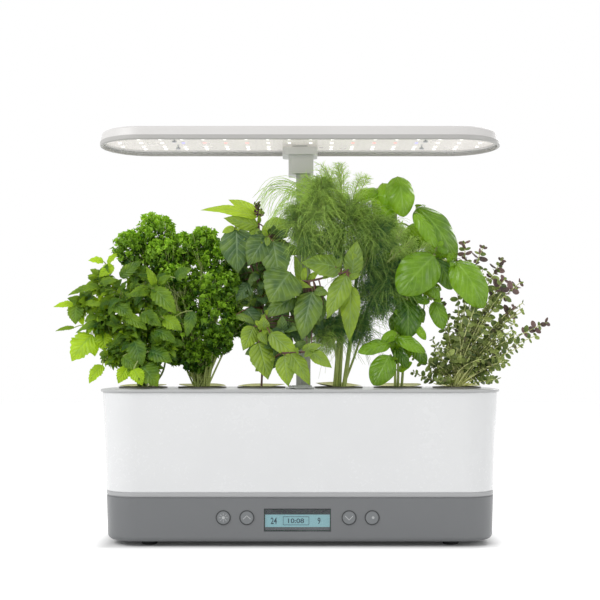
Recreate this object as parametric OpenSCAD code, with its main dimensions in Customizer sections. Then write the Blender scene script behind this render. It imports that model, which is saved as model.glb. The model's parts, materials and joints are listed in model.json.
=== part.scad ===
// Countertop hydroponic garden: grey base with a control panel, white water bowl,
// grow deck with six planted pods, and a lamp hood on a telescoping mast.
// Origin: centre of the footprint on the table. +X right, +Y back, +Z up. Millimetres.

/* [Base] */
// Width of the base and of the bowl's foot
base_w = 388.5; // [380:1:400]
// Depth of the base
base_d = 128.5; // [122:1:134]
// Corner radius of the base in plan
base_r = 34; // [30:1:40]
// Height of the grey base shell
base_h = 44.1; // [42:0.5:50]
// How far the base walls lean in at the bottom
base_draft = 1.25; // [0.5:0.25:2]
// Rounding of the base's lower edge
base_fillet = 5; // [3:0.5:6]
// Wall of the base shell
base_wall = 2.5; // [2:0.1:3]
// Height of the light grey seat ring
seat_h = 4.3; // [3:0.1:6]
// Height that the rubber feet stand out
foot_h = 4.9; // [3:0.1:8]
// Radius of a rubber foot
foot_r = 8; // [6:0.5:10]
// Distance from the centre to a foot, sideways
foot_x = 150; // [120:1:152]

/* [Panel] */
// Height of the buttons' centre line
panel_z = 29; // [27:0.5:31]
// Radius of a button cap
button_r = 6.3; // [5:0.1:7]
// How far a button presses in
button_travel = 1; // [0.6:0.1:1.1]
// Width of the display window
window_w = 65.5; // [60:0.5:70]
// Height of the display window
window_h = 22.5; // [18:0.5:24]
// Height of the display window's centre
window_z = 26.6; // [25:0.2:29]
// Offset of the display window to the left of the middle
window_x = -2.5; // [-4:0.5:0]

/* [Power inlet] */
// Bore of the power inlet
inlet_r = 2.9; // [2.8:0.05:3.2]
// Depth of the power inlet's bore
inlet_depth = 9.5; // [8:0.5:10]
// Sideways place of the power inlet on the back
inlet_x = 62; // [40:1:90]

/* [Bowl] */
// How far the bowl's rim reaches past its foot, all round
bowl_draft = 3.75; // [1:0.25:4.5]
// Height of the bowl
bowl_h = 98.1; // [90:0.5:110]
// Wall of the bowl
bowl_wall = 2.5; // [2:0.1:3.5]

/* [Deck] */
// How far the grow deck reaches past the bowl's rim
deck_over = 2; // [1:0.5:4]
// Thickness of the deck's rim
deck_t = 3; // [2.5:0.1:4]
// Distance from the outermost basket to the bowl's outer edge
pod_margin = 11; // [9:0.5:14]
// Distance from the middle to the first pod
pod_first = 40; // [38:0.5:44]
// Radius of a pod basket's rim
pod_rim_r = 25; // [24:0.1:26]
// Radius of the hole in the deck for a pod
pod_hole_r = 22.8; // [22:0.1:23]
// Depth of a pod basket below the deck
pod_depth = 48; // [40:1:52]
// Width of the filling port
port_w = 24; // [20:0.5:26]
// Length of the filling port, front to back
port_l = 24; // [20:0.5:25]

/* [Mast] */
// Width of the mast post
post_w = 15; // [12:0.5:16]
// Depth of the mast post
post_d = 12; // [10:0.5:14]
// Sideways place of the post
post_x = 3.5; // [0:0.5:5]
// Place of the post behind the pods' centre line
post_y = 20; // [18:0.5:22]
// Bottom end of the post above the table
post_foot_z = 62; // [58:1:75]
// Height of the sleeve below the bracket
sleeve_h = 19; // [15:0.5:25]
// Width of the sleeve
sleeve_w = 26; // [24:0.5:28]
// Width of the bracket under the hood
bracket_w = 36.6; // [32:0.5:40]
// Height of the bracket under the hood
bracket_h = 7.7; // [6:0.1:10]

/* [Lamp hood] */
// Width of the lamp hood
hood_w = 412; // [400:1:430]
// Depth of the lamp hood
hood_d = 96; // [92:1:100]
// Height of the hood's lower edge above the table
hood_z = 402.3; // [400:0.5:430]
// Height of the hood
hood_h = 14; // [13:0.5:18]
// Distance between neighbouring lamp chips along the hood
chip_pitch = 21.9; // [20:0.1:22]
// Width of a lamp chip
chip_w = 3; // [2:0.1:3.5]

/* [Hidden] */
$fn = 96;

eps = 0.01;
fit_gap = 0.25;       // between a moving piece and the hole that it slides in
seat_gap = 0.3;       // round a piece that drops into its place
screw_r = 1.4;
screw_gap = 0.1;

// Heights of the stack, from the table up
base_z = foot_h;
base_top = base_z + base_h;
seat_top = base_top + seat_h;
bowl_top = seat_top + bowl_h;
deck_top = bowl_top + deck_t;
bowl_floor = seat_top + bowl_wall;
bowl_w = base_w + 2 * bowl_draft;
bowl_d = base_d + 2 * bowl_draft;
bowl_r = base_r + bowl_draft;
deck_w = bowl_w + 2 * deck_over;
deck_d = bowl_d + 2 * deck_over;
deck_r = bowl_r + deck_over;

// Base and panel
cover_t = 2.5;
cover_inset = base_fillet + 1.5;
boss_r = 4;
boss_inset = 20.25;
boss_y = base_d / 2 - boss_inset;
boss_spots = [for (x = [-120, 0, 120], y = [-boss_y, boss_y]) [x, y]];
foot_y = boss_y - 2;
foot_sink = 0.5;
pad_t = 3.8;
pad_w = 184;
pad_back = -base_d / 2 + pad_t;
panel_front = -base_d / 2;
button_flange_t = 1.2;
button_flange_r = button_r + 2.2;
button_stem_r = 2;
button_x = [-75, -52, 48, 70.5];
switch_w = 6;
switch_h = 3.5;
plunger_h = 0.6;
stem_l = 1.6;
stop_gap = 0.1;
board_t = 1.6;
board_front = pad_back + button_flange_t + stem_l + button_travel + stop_gap + plunger_h + switch_h;
board_low = 14;
board_high = 44;
board_boss_x = pad_w / 2 - 6;
board_boss_in = 4.5;
board_boss = [for (x = [-board_boss_x, board_boss_x], z = [board_low + board_boss_in, board_high - board_boss_in])
    [x, z]];
window_t = 2;

// Bowl, pump and float
guide_wall = 2;
guide_w = post_w + 2 * (fit_gap + guide_wall);
guide_d = post_d + 2 * (fit_gap + guide_wall);
well_w = guide_w + 2 * seat_gap;
well_d = guide_d + 2 * seat_gap;
socket_depth = 12;
pump_x = 70.5;
pump_r = 20;
pump_wall = 3;
pump_h = 28;
motor_h = 12;
impeller_r = 13;
impeller_h = 8;
axle_r = 1.5;
axle_gap = 0.05;
contact_r = 8;
spout_r = 5;
spout_y = -pump_r - 12;
float_x = -70.5;
float_y = -38;
float_r = 9;
float_h = 12;
rod_r = 2;
rod_top = bowl_top - 6;

// Deck, lid and pods
skirt_h = 6;
skirt_t = 1.8;
pod_pitch = (bowl_w / 2 - pod_margin - pod_rim_r - pod_first) / 2;
pods = [for (k = [-1, 1], i = [0:2]) k < 0 ? -pod_first - (2 - i) * pod_pitch : pod_first + i * pod_pitch];
pod_wall = 1.2;
pod_rim_t = 1.6;
pod_foot_r = 17;
sponge_gap = 0.2;
label_t = 0.6;
label_hole_r = 8;
crown_z = deck_top + pod_rim_t;
port_inset = 22;
port_y = port_inset + port_l / 2 - deck_d / 2;
lid_t = 1.6;
lid_lap = 2;
hinge_r = 1.5;
pin_r = 0.8;
hinge_y = port_y + port_l / 2 + 2.5;
hinge_z = deck_top + hinge_r + 0.2;

// Hood
hood_top = hood_z + hood_h;
hood_r = hood_d / 2;
hood_wall = 2.2;
lens_t = 1.5;
lens_z = hood_z + 2.2;
step_in = 4.5;
board_z = lens_z + lens_t + 2;
hood_ceiling = hood_top - hood_wall;
neck_w = 16;
bracket_z = lens_z - bracket_h;
bracket_d = 32;
sleeve_z = bracket_z - sleeve_h;
sleeve_d = 24;
chip_rows = [-34, -20, 0, 20, 34];
chip_t = 1;
chip_cols = [for (i = [-9:8]) (i + 0.5) * chip_pitch];
hood_screw_spots = [for (x = [-127, 127], y = [-26, 11]) [x, y]];

// A frame that runs round a rounded rectangle: the children's outline is its section,
// with x = 0 on the rectangle and x negative inwards
module around(w, d, r) {
    for (q = [0:3]) {
        odd = q % 2;
        cw = (odd == 0 ? w : d) / 2 - r;
        cd = (odd == 0 ? d : w) / 2 - r;
        rotate([0, 0, 90 * q]) {
            translate([cw, cd, 0]) rotate_extrude(angle = 90) translate([r, 0]) children();
            if (cd > eps)
                translate([cw + r, cd, 0]) rotate([90, 0, 0]) linear_extrude(2 * cd) children();
        }
    }
}

// A flat plate with round corners
module plate(w, d, r, z, t) {
    translate([0, 0, z]) linear_extrude(t) {
        square([w - 2 * r, d], center = true);
        if (d > 2 * r + eps) square([w, d - 2 * r], center = true);
        for (x = [-1, 1], y = [-1, 1]) translate([x * (w / 2 - r), y * (d / 2 - r)]) circle(r);
    }
}

// A block given by its lower and upper corner
module block(low, high) {
    translate(low) cube(high - low);
}

// A cylinder that runs front to back
module along_y(x, z, y0, y1, r) {
    translate([x, y0, z]) rotate([-90, 0, 0]) cylinder(h = y1 - y0, r = r);
}

// Points of a quarter circle from one angle to another
function arc(c, r, a0, a1, n = 6) = [for (i = [0:n]) c + r * [cos(a0 + (a1 - a0) * i / n), sin(a0 + (a1 - a0) * i / n)]];

// ---- Base ----

module base_section() {
    low = -base_draft - base_fillet;
    polygon(concat(
        [[low - 1.5, base_z]],
        arc([low, base_z + base_fillet], base_fillet, -90, 0),
        [[-0.1, base_top - 1], [-0.8, base_top - 1], [-0.8, base_top]],
        [[-base_wall, base_top], [-base_wall - base_draft, base_z + base_fillet + 0.6]],
        [[low - 1.5, base_z + cover_t]]));
}

module base_shell() {
    color("#75797c") difference() {
        union() {
            around(base_w, base_d, base_r) base_section();
            plate(base_w - base_wall, base_d - base_wall, base_r - base_wall / 2, base_top - base_wall, base_wall);
            // Flat pad that the panel's buttons and window sit in
            block([-pad_w / 2, panel_front + 1.6, panel_z - 16.5], [pad_w / 2, pad_back, panel_z + 14.5]);
            for (p = board_boss) along_y(p[0], p[1], pad_back - eps, board_front, 3);
            for (p = boss_spots)
                translate([p[0], p[1], base_z + cover_t]) cylinder(h = base_h - cover_t - 1, r = boss_r);
            // Socket that holds the mast guide, and the rib behind the power inlet
            block([post_x - guide_w / 2 - 2.4, post_y - guide_d / 2 - 2.4, base_top - socket_depth - 2],
                [post_x + guide_w / 2 + 2.4, post_y + guide_d / 2 + 2.4, base_top - 1]);
            block([inlet_x - 9, base_d / 2 - pad_t, 16], [inlet_x + 9, base_d / 2 - 1.6, 34]);
        }
        block([post_x - guide_w / 2 - screw_gap, post_y - guide_d / 2 - screw_gap, base_top - socket_depth],
            [post_x + guide_w / 2 + screw_gap, post_y + guide_d / 2 + screw_gap, base_top + 1]);
        translate([post_x, post_y, base_top - socket_depth - 3]) cylinder(h = 4, r = 2.5);
        for (p = boss_spots)
            translate([p[0], p[1], base_z]) cylinder(h = 16, r = screw_r + screw_gap);
        for (p = board_boss)
            along_y(p[0], p[1], pad_back + 1, board_front + 1, 1 + screw_gap);
        for (x = button_x) {
            along_y(x, panel_z, panel_front - 1, pad_back + 1, button_r + fit_gap);
            along_y(x, panel_z, panel_front - 1, panel_front + 0.9, button_r + 3 * fit_gap);
        }
        block([window_x - window_w / 2, panel_front - 1, window_z - window_h / 2],
            [window_x + window_w / 2, pad_back + 1, window_z + window_h / 2]);
        along_y(inlet_x, panel_z - 4, base_d / 2 - pad_t - 1, base_d / 2 + 1, 5.2);
        translate([pump_x, 0, base_top - 5]) cylinder(h = 6, r = contact_r + fit_gap);
    }
}

module seat_ring() {
    color("#b3b6b8") around(base_w, base_d, base_r)
        polygon([[-22, base_top], [-0.6, base_top], [0, base_top + 1.2], [-0.3, seat_top], [-22, seat_top]]);
}

module bottom_cover() {
    w = base_w - 2 * (base_draft + cover_inset + fit_gap);
    d = base_d - 2 * (base_draft + cover_inset + fit_gap);
    color("#5f6365") difference() {
        plate(w, d, base_r - base_draft - cover_inset - fit_gap, base_z, cover_t);
        for (x = [-foot_x, foot_x], y = [-foot_y, foot_y])
            translate([x, y, base_z - 1]) cylinder(h = 1 + foot_sink, r = foot_r + screw_gap);
        for (p = boss_spots) translate([p[0], p[1], base_z - 1]) {
            cylinder(h = 2.5, r = 3.4);
            cylinder(h = cover_t + 2, r = screw_r + screw_gap);
        }
    }
}

module feet() {
    color("#2d2f30") for (x = [-foot_x, foot_x], y = [-foot_y, foot_y]) translate([x, y, 0])
        rotate_extrude() polygon([[0, 0], [foot_r - 1.2, 0], [foot_r, 1.2],
            [foot_r, base_z + foot_sink], [0, base_z + foot_sink]]);
}

module cover_screws() {
    color("#9b9ea0") for (p = boss_spots) translate([p[0], p[1], base_z + 0.2]) {
        difference() {
            cylinder(h = 1.3, r = 3.1);
            for (a = [0, 90]) rotate([0, 0, a]) translate([-1.6, -0.35, -1]) cube([3.2, 0.7, 1.7]);
        }
        cylinder(h = 13, r = screw_r);
    }
}

module control_board() {
    color("#2f6b45") difference() {
        block([-pad_w / 2 + 1, board_front, board_low], [pad_w / 2 - 1, board_front + board_t, board_high]);
        for (p = board_boss) along_y(p[0], p[1], board_front - 1, board_front + board_t + 1, 1 + screw_gap);
    }
    // Memory back-up cell and the driver chip on the board's back
    color("#2b2c2e") block([-30, board_front + board_t, 22], [-12, board_front + board_t + 2.4, 36]);
    color("#c9ccce") along_y(24, panel_z, board_front + board_t, board_front + board_t + 3.2, 10);
}

module board_screws() {
    color("#9b9ea0") for (p = board_boss) {
        along_y(p[0], p[1], board_front + board_t, board_front + board_t + 1.4, 2.2);
        along_y(p[0], p[1], board_front - 5, board_front + board_t + eps, 1);
    }
}

module lcd_module() {
    color("#9fc7cb") block(
        [window_x - window_w / 2 + 1, panel_front + 2.4 + window_t - 1.6, window_z - window_h / 2 + 1],
        [window_x + window_w / 2 - 1, board_front, window_z + window_h / 2 - 1]);
}

module display_window() {
    front = panel_front + 0.8;
    color([0.2, 0.24, 0.25, 0.5]) block(
        [window_x - window_w / 2 + screw_gap, front, window_z - window_h / 2],
        [window_x + window_w / 2 - screw_gap, front + window_t, window_z + window_h / 2 - screw_gap]);
}

module tact_switches() {
    back = board_front;
    color("#3a3c3d") for (x = button_x) {
        block([x - switch_w / 2, back - switch_h, panel_z - switch_w / 2], [x + switch_w / 2, back, panel_z + switch_w / 2]);
        along_y(x, panel_z, back - switch_h - plunger_h, back - switch_h + eps, 1.6);
    }
}

module panel_button(x) {
    color("#8b8f91") {
        along_y(x, panel_z, panel_front + 0.2, pad_back + button_flange_t, button_r);
        along_y(x, panel_z, pad_back, pad_back + button_flange_t, button_flange_r);
        along_y(x, panel_z, pad_back + button_flange_t - eps, pad_back + button_flange_t + stem_l, button_stem_r);
    }
}

module light_button() { panel_button(button_x[0]); }
module up_button() { panel_button(button_x[1]); }
module down_button() { panel_button(button_x[2]); }
module food_button() { panel_button(button_x[3]); }

module power_jack() {
    face = base_d / 2 - pad_t;
    z = panel_z - 4;
    color("#232425") difference() {
        union() {
            block([inlet_x - 6, face - 10, z - 6], [inlet_x + 6, face, z + 6]);
            along_y(inlet_x, z, face - eps, base_d / 2 - 0.4, 5);
        }
        along_y(inlet_x, z, base_d / 2 - 0.4 - inlet_depth, base_d / 2, inlet_r);
    }
}

// ---- Bowl, pump and float ----

module bowl() {
    color("#eceef0") difference() {
        union() {
            around(bowl_w, bowl_d, bowl_r) polygon([
                [-bowl_draft - bowl_wall - 3, seat_top], [-bowl_draft - 0.8, seat_top], [-bowl_draft, seat_top + 1],
                [0, bowl_top], [-bowl_wall, bowl_top], [-bowl_draft - bowl_wall, bowl_floor + 1.5],
                [-bowl_draft - bowl_wall - 3, bowl_floor]]);
            plate(base_w - 2 * bowl_wall, bowl_d - 2 * (bowl_draft + bowl_wall), base_r - bowl_wall, seat_top, bowl_wall);
            block([post_x - well_w / 2 - bowl_wall, post_y - well_d / 2 - bowl_wall, seat_top],
                [post_x + well_w / 2 + bowl_wall, post_y + well_d / 2 + bowl_wall, bowl_top - 3]);
        }
        block([post_x - well_w / 2, post_y - well_d / 2, seat_top - 1],
            [post_x + well_w / 2, post_y + well_d / 2, bowl_top]);
        translate([pump_x, 0, seat_top - 1]) cylinder(h = bowl_wall + 2, r = contact_r + fit_gap);
    }
}

module pump_contacts() {
    color("#2b2c2e") translate([pump_x, 0, base_top - 5]) cylinder(h = bowl_floor - base_top + 5, r = contact_r);
}

module pump_housing() {
    inner = pump_r - pump_wall;
    color("#3c4043") difference() {
        union() {
            translate([pump_x, 0, bowl_floor]) cylinder(h = pump_h, r = pump_r);
            along_y(pump_x, bowl_floor + pump_h - 8, -pump_r - 7, -pump_r + 4, spout_r);
        }
        translate([pump_x, 0, bowl_floor + pump_wall]) cylinder(h = pump_h, r = inner);
        along_y(pump_x, bowl_floor + pump_h - 8, -pump_r - 8, -inner + 2, spout_r - 1.5);
    }
}

module pump_motor() {
    color("#b5773c") difference() {
        translate([pump_x, 0, bowl_floor + pump_wall]) cylinder(h = motor_h, r = pump_r - pump_wall - 0.1);
        translate([pump_x, 0, bowl_floor + pump_wall + 3]) cylinder(h = motor_h, r = axle_r + axle_gap);
    }
}

module impeller() {
    low = bowl_floor + pump_wall + motor_h + 0.3;
    color("#e9e9e4") translate([pump_x, 0, 0]) {
        translate([0, 0, low]) cylinder(h = 1.6, r = impeller_r);
        translate([0, 0, low]) cylinder(h = impeller_h, r = 4);
        translate([0, 0, low - motor_h + 3.6]) cylinder(h = motor_h - 3, r = axle_r);
        for (a = [0:60:300]) rotate([0, 0, a]) translate([3, -0.7, low]) cube([impeller_r - 4, 1.4, impeller_h - 1]);
    }
}

module impeller_cover() {
    z = bowl_floor + pump_h;
    color("#3c4043") translate([pump_x, 0, z]) difference() {
        cylinder(h = 2, r = pump_r);
        translate([0, 0, -1]) cylinder(h = 4, r = 6);
    }
}

module intake_filter() {
    z = bowl_floor + pump_h + 2;
    color("#6f7a4a") translate([pump_x, 0, z]) cylinder(h = 5, r = pump_r - 3);
}

module water_spout() {
    z = bowl_floor + pump_h - 8;
    color("#3c4043") difference() {
        union() {
            translate([pump_x, spout_y, z - 6]) cylinder(h = bowl_top - 6 - z, r = spout_r);
            block([pump_x - spout_r, spout_y, z - 6], [pump_x + spout_r, -pump_r - 7, z + 6]);
        }
        translate([pump_x, spout_y, z - 4]) cylinder(h = bowl_h, r = spout_r - 1.5);
        along_y(pump_x, z, spout_y, -pump_r - 6, spout_r - 1.5);
    }
}

module float_rod() {
    color("#d9dadb") translate([float_x, float_y, bowl_floor]) {
        cylinder(h = 2, r = 6);
        cylinder(h = rod_top - bowl_floor, r = rod_r);
    }
}

module level_float() {
    color("#d9622b") translate([float_x, float_y, bowl_floor + 2]) difference() {
        cylinder(h = float_h, r = float_r);
        translate([0, 0, -1]) cylinder(h = float_h + 2, r = rod_r + fit_gap);
    }
}

// ---- Deck, lid and pods ----

module grow_deck() {
    lap = (deck_w - bowl_w) / 2 + bowl_wall + seat_gap;
    color("#a9acae") difference() {
        union() {
            around(deck_w, deck_d, deck_r) polygon(concat(
                [[-12, bowl_top], [-0.6, bowl_top], [0, bowl_top + 0.6]],
                arc([-1, deck_top - 1], 1, 0, 90, 3), [[-12, deck_top]]));
            plate(deck_w - 22, deck_d - 22, deck_r - 11, bowl_top, deck_t);
            around(deck_w, deck_d, deck_r)
                polygon([[-lap - skirt_t, bowl_top - skirt_h], [-lap - 0.4, bowl_top - skirt_h],
                    [-lap, bowl_top + eps], [-lap - skirt_t, bowl_top + eps]]);
            for (x = [-1, 1]) {
                along = port_w / 2 - 3;
                translate([x * (along + 1.6) - 1.5, hinge_y, hinge_z]) rotate([0, 90, 0]) cylinder(h = 3, r = hinge_r);
                block([x * (along + 1.6) - 1.5, hinge_y - hinge_r, deck_top - eps],
                    [x * (along + 1.6) + 1.5, hinge_y + hinge_r, hinge_z]);
            }
        }
        for (x = pods) translate([x, 0, bowl_top - 1]) cylinder(h = deck_t + 2, r = pod_hole_r);
        block([-port_w / 2, port_y - port_l / 2, bowl_top - 1], [port_w / 2, port_y + port_l / 2, deck_top + 1]);
        block([post_x - post_w / 2 - 1, post_y - post_d / 2 - 1, bowl_top - 1],
            [post_x + post_w / 2 + 1, post_y + post_d / 2 + 1, deck_top + 1]);
        translate([-port_w, hinge_y, hinge_z]) rotate([0, 90, 0]) cylinder(h = 2 * port_w, r = pin_r);
    }
}

module port_lid() {
    half = port_w / 2 - 3.4;
    color("#b4b7b9") difference() {
        union() {
            block([-port_w / 2 - lid_lap, port_y - port_l / 2 - lid_lap, deck_top],
                [port_w / 2 + lid_lap, hinge_y - 3, deck_top + lid_t]);
            block([-half, hinge_y - 3 - eps, deck_top + 0.2], [half, hinge_y, deck_top + lid_t]);
            translate([-half, hinge_y, hinge_z]) rotate([0, 90, 0]) cylinder(h = 2 * half, r = hinge_r);
            // Finger tab at the front edge
            block([-5, port_y - port_l / 2 - lid_lap - 3, deck_top + 0.3],
                [5, port_y - port_l / 2 - lid_lap + eps, deck_top + lid_t]);
        }
        translate([-port_w, hinge_y, hinge_z]) rotate([0, 90, 0]) cylinder(h = 2 * port_w, r = pin_r + 0.05);
    }
}

module lid_pin() {
    reach = port_w / 2 + 0.1;
    color("#c9ccce") translate([-reach, hinge_y, hinge_z]) rotate([0, 90, 0]) cylinder(h = 2 * reach, r = pin_r);
}

module basket(i) {
    foot = deck_top - pod_depth;
    top_r = pod_hole_r - seat_gap;
    color("#8f9394") translate([pods[i], 0, 0]) difference() {
        rotate_extrude() polygon([[0, foot], [pod_foot_r, foot], [top_r, deck_top], [pod_rim_r - 0.5, deck_top],
            [pod_rim_r, deck_top + 0.5], [pod_rim_r, crown_z], [top_r - pod_wall, crown_z],
            [pod_foot_r - pod_wall, foot + pod_wall], [0, foot + pod_wall]]);
        // Windows that let the water reach the roots
        for (a = [0:90:270]) rotate([0, 0, a + 45]) block([4, -3, foot - 1], [30, 3, foot + pod_depth * 0.4]);
    }
}

module basket_1() { basket(0); }
module basket_2() { basket(1); }
module basket_3() { basket(2); }
module basket_4() { basket(3); }
module basket_5() { basket(4); }
module basket_6() { basket(5); }

module grow_sponges() {
    foot = deck_top - pod_depth + pod_wall;
    low_r = pod_foot_r - pod_wall - sponge_gap;
    high_r = pod_hole_r - seat_gap - pod_wall - sponge_gap - 0.6;
    color("#5b4632") for (x = pods) translate([x, 0, foot]) cylinder(h = crown_z - 3 - foot, r1 = low_r, r2 = high_r);
}

module pod_labels() {
    color("#b9bf6a") for (x = pods) translate([x, 0, crown_z]) difference() {
        cylinder(h = label_t, r = pod_rim_r - 0.7);
        translate([0, 0, -1]) cylinder(h = label_t + 2, r = label_hole_r);
    }
}

// ---- Mast ----

module mast_tube(w, d, z0, z1, wall, gap) {
    translate([post_x, post_y, 0]) difference() {
        block([-w / 2, -d / 2, z0], [w / 2, d / 2, z1]);
        block([-w / 2 + wall, -d / 2 + wall, z0 - 1], [w / 2 - wall, d / 2 - wall, z1 + gap]);
    }
}

module mast_guide() {
    color("#8f9394") difference() {
        mast_tube(guide_w, guide_d, base_top - socket_depth, bowl_top - 1, guide_wall, 1);
        block([post_x - 4, post_y + post_d / 2, 120], [post_x + 4, post_y + guide_d / 2 + 1, 130]);
    }
}

module friction_shoe() {
    color("#303233") block([post_x - 3.9, post_y + post_d / 2 + 0.1, 120],
        [post_x + 3.9, post_y + guide_d / 2, 129.8]);
}

module lamp_lead() {
    color("#2b2c2e") translate([post_x, post_y, base_top - socket_depth])
        cylinder(h = post_foot_z - (base_top - socket_depth), r = 3.6);
}

module mast_post() {
    color("#b9bbbc") difference() {
        mast_tube(post_w, post_d, post_foot_z, bracket_z, 1.5, 1);
        block([post_x - 2.6, post_y - post_d / 2 - 1, post_foot_z - 1],
            [post_x - 1, post_y - post_d / 2 + 0.7, bracket_z + 1]);
    }
}

module mast_sleeve() {
    left = -sleeve_w / 2 + 1;
    front = post_y - sleeve_d / 2;
    r = 4;
    color("#b3b5b6") difference() {
        union() {
            block([left + r, front, sleeve_z], [left + sleeve_w, front + sleeve_d, bracket_z]);
            block([left, front + r, sleeve_z - 1], [left + 2 * r, front + sleeve_d, bracket_z]);
            translate([left + r, front + r, sleeve_z - 1]) cylinder(h = bracket_z - sleeve_z + 1, r = r);
        }
        block([post_x - post_w / 2 - 0.1, post_y - post_d / 2 - 0.1, sleeve_z - 2],
            [post_x + post_w / 2 + 0.1, post_y + post_d / 2 + 0.1, bracket_z + 1]);
    }
}

module lamp_bracket() {
    front = post_y - bracket_d / 2;
    color("#b3b5b6") difference() {
        union() {
            translate([0, post_y, 0]) plate(bracket_w, bracket_d, 5, bracket_z, bracket_h);
            block([-neck_w / 2, post_y - neck_w / 2, lens_z - eps], [neck_w / 2, post_y + neck_w / 2, hood_ceiling]);
        }
        translate([0, post_y, bracket_z - 1]) cylinder(h = hood_h + bracket_h, r = 4);
    }
}

// ---- Lamp hood ----

module hood_section() {
    top = hood_top;
    polygon(concat(
        [[-2.6, hood_z]], arc([-1.4, hood_z + 1.4], 1.4, -90, 0, 4),
        [[0, hood_z + 4.4], [-0.7, hood_z + 5.2]],
        [[-1.6, top - 4]], arc([-5.1, top - 3.5], 3.5, 0, 90, 5),
        [[-12, top], [-12, hood_ceiling], [-6, hood_ceiling], [-step_in, hood_ceiling - 1.5],
        [-step_in, lens_z + lens_t], [-2.6, lens_z + lens_t]]));
}

module hood_shell() {
    color("#e2e3e4") difference() {
        union() {
            around(hood_w, hood_d, hood_r) hood_section();
            plate(hood_w - 22, hood_d - 22, hood_r - 11, hood_ceiling, hood_wall);
            for (p = hood_screw_spots)
                translate([p[0], p[1], board_z + 1.6]) cylinder(h = hood_ceiling - board_z - 1, r = 3.2);
        }
        for (p = hood_screw_spots)
            translate([p[0], p[1], board_z]) cylinder(h = hood_ceiling - board_z, r = 1 + screw_gap);
    }
}

module led_board() {
    inset = 2 * (step_in + 0.5);
    color("#dfe3e0") difference() {
        plate(hood_w - inset, hood_d - inset, hood_r - inset / 2, board_z, 1.6);
        for (p = hood_screw_spots) translate([p[0], p[1], board_z - 1]) cylinder(h = 4, r = 1 + screw_gap);
        neck_hole(board_z);
    }
}

module neck_hole(z) {
    half = neck_w / 2 + screw_gap;
    block([-half, post_y - half, z - 1], [half, post_y + half, z + 4]);
}

// Which lamp a place on the board holds: 0 white, 1 red, 2 blue
function chip_kind(col, row) =
    row == 2 && (col == 4 || col == 5 || col == 6 || col == 11 || col == 12 || col == 13) ? 1
    : row == 2 && (col == 3 || col == 14) ? 2 : 0;

module chips(kind) {
    reach = hood_w / 2 - hood_r;
    for (c = [0:len(chip_cols) - 1], r = [0:len(chip_rows) - 1]) {
        x = chip_cols[c];
        y = chip_rows[r];
        past = max(abs(x) - reach, 0);
        behind_neck = abs(x) < chip_pitch && y > post_y - neck_w && y < post_y + neck_w;
        if (chip_kind(c, r) == kind && norm([past, y]) < hood_r - 10 && !behind_neck)
            translate([x - chip_w / 2, y - chip_w / 2, board_z - chip_t]) cube([chip_w, chip_w, chip_t]);
    }
}

module white_chips() { color("#fff6d8") chips(0); }
module red_chips() { color("#ff7a66") chips(1); }
module blue_chips() { color("#6aa8ff") chips(2); }

module lens_cover() {
    color([0.9, 0.92, 0.92, 0.5]) difference() {
        plate(hood_w - 5.6, hood_d - 5.6, hood_r - 2.8, lens_z, lens_t);
        for (p = hood_screw_spots) translate([p[0], p[1], lens_z - 1]) cylinder(h = 4, r = 1 + screw_gap);
        neck_hole(lens_z);
    }
}

module hood_screws() {
    color("#6b5a48") for (p = hood_screw_spots) translate([p[0], p[1], 0]) {
        difference() {
            translate([0, 0, lens_z - 1.2]) cylinder(h = 1.2, r = 2.3);
            translate([-1.5, -0.3, lens_z - 2]) cube([3, 0.6, 1.4]);
        }
        translate([0, 0, lens_z - eps]) cylinder(h = 8, r = 1);
    }
}

// ---- Plants ----
// Each plant stands in its own pod: stems from the grow sponge, and leaves or tufts on them.
// A leaf row is [base x, base z, tip x, tip z, width, base y, tip y].

stem_r = 1.5;
leaf_t = 1.2;
root_z = crown_z - 3;

// Grow sponge centre of a pod, where its plant's stems begin
function root(i) = [pods[i], 0, root_z];

// Point of a stem that leaves the pod upright and bends towards its tip
function bend(a, b, t) = let (c = [a[0] + 0.25 * (b[0] - a[0]), a[1] + 0.25 * (b[1] - a[1]), a[2] + 0.6 * (b[2] - a[2])])
    (1 - t) * (1 - t) * a + 2 * t * (1 - t) * c + t * t * b;

module twig(a, b, r) {
    hull() {
        translate(a) cylinder(h = 2 * r, r = r, center = true, $fn = 4);
        translate(b) cylinder(h = 2 * r, r = 0.8 * r, center = true, $fn = 4);
    }
}

module stem(a, b, r, pieces = 2) {
    for (k = [0:pieces - 1]) twig(bend(a, b, k / pieces), bend(a, b, (k + 1) / pieces), r * (1 - 0.12 * k));
}

// A leaf from its base to its tip: across is its width direction, up the side that it domes to
module leaf(base, tip, width, across, t = leaf_t) {
    run = tip - base;
    side = across / norm(across) * width / 2;
    up = cross(run, side) / norm(cross(run, side)) * t;
    hull() polyhedron([base, base + 0.3 * run + 0.95 * side, base + 0.7 * run + 0.7 * side, tip,
        base + 0.7 * run - 0.7 * side, base + 0.3 * run - 0.95 * side, base + 0.42 * run + up,
        base + 0.42 * run - up],
        [[0, 1, 6], [1, 2, 6], [2, 3, 6], [3, 4, 6], [4, 5, 6], [5, 0, 6],
        [1, 0, 7], [2, 1, 7], [3, 2, 7], [4, 3, 7], [5, 4, 7], [0, 5, 7]]);
}

// A leaf that shows its face to the front
module face_leaf(p, t = leaf_t) {
    base = [p[0], p[5], p[1]];
    tip = [p[2], p[6], p[3]];
    leaf(base, tip, p[4], cross(tip - base, [0, 1, 0.25]), t);
}

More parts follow.
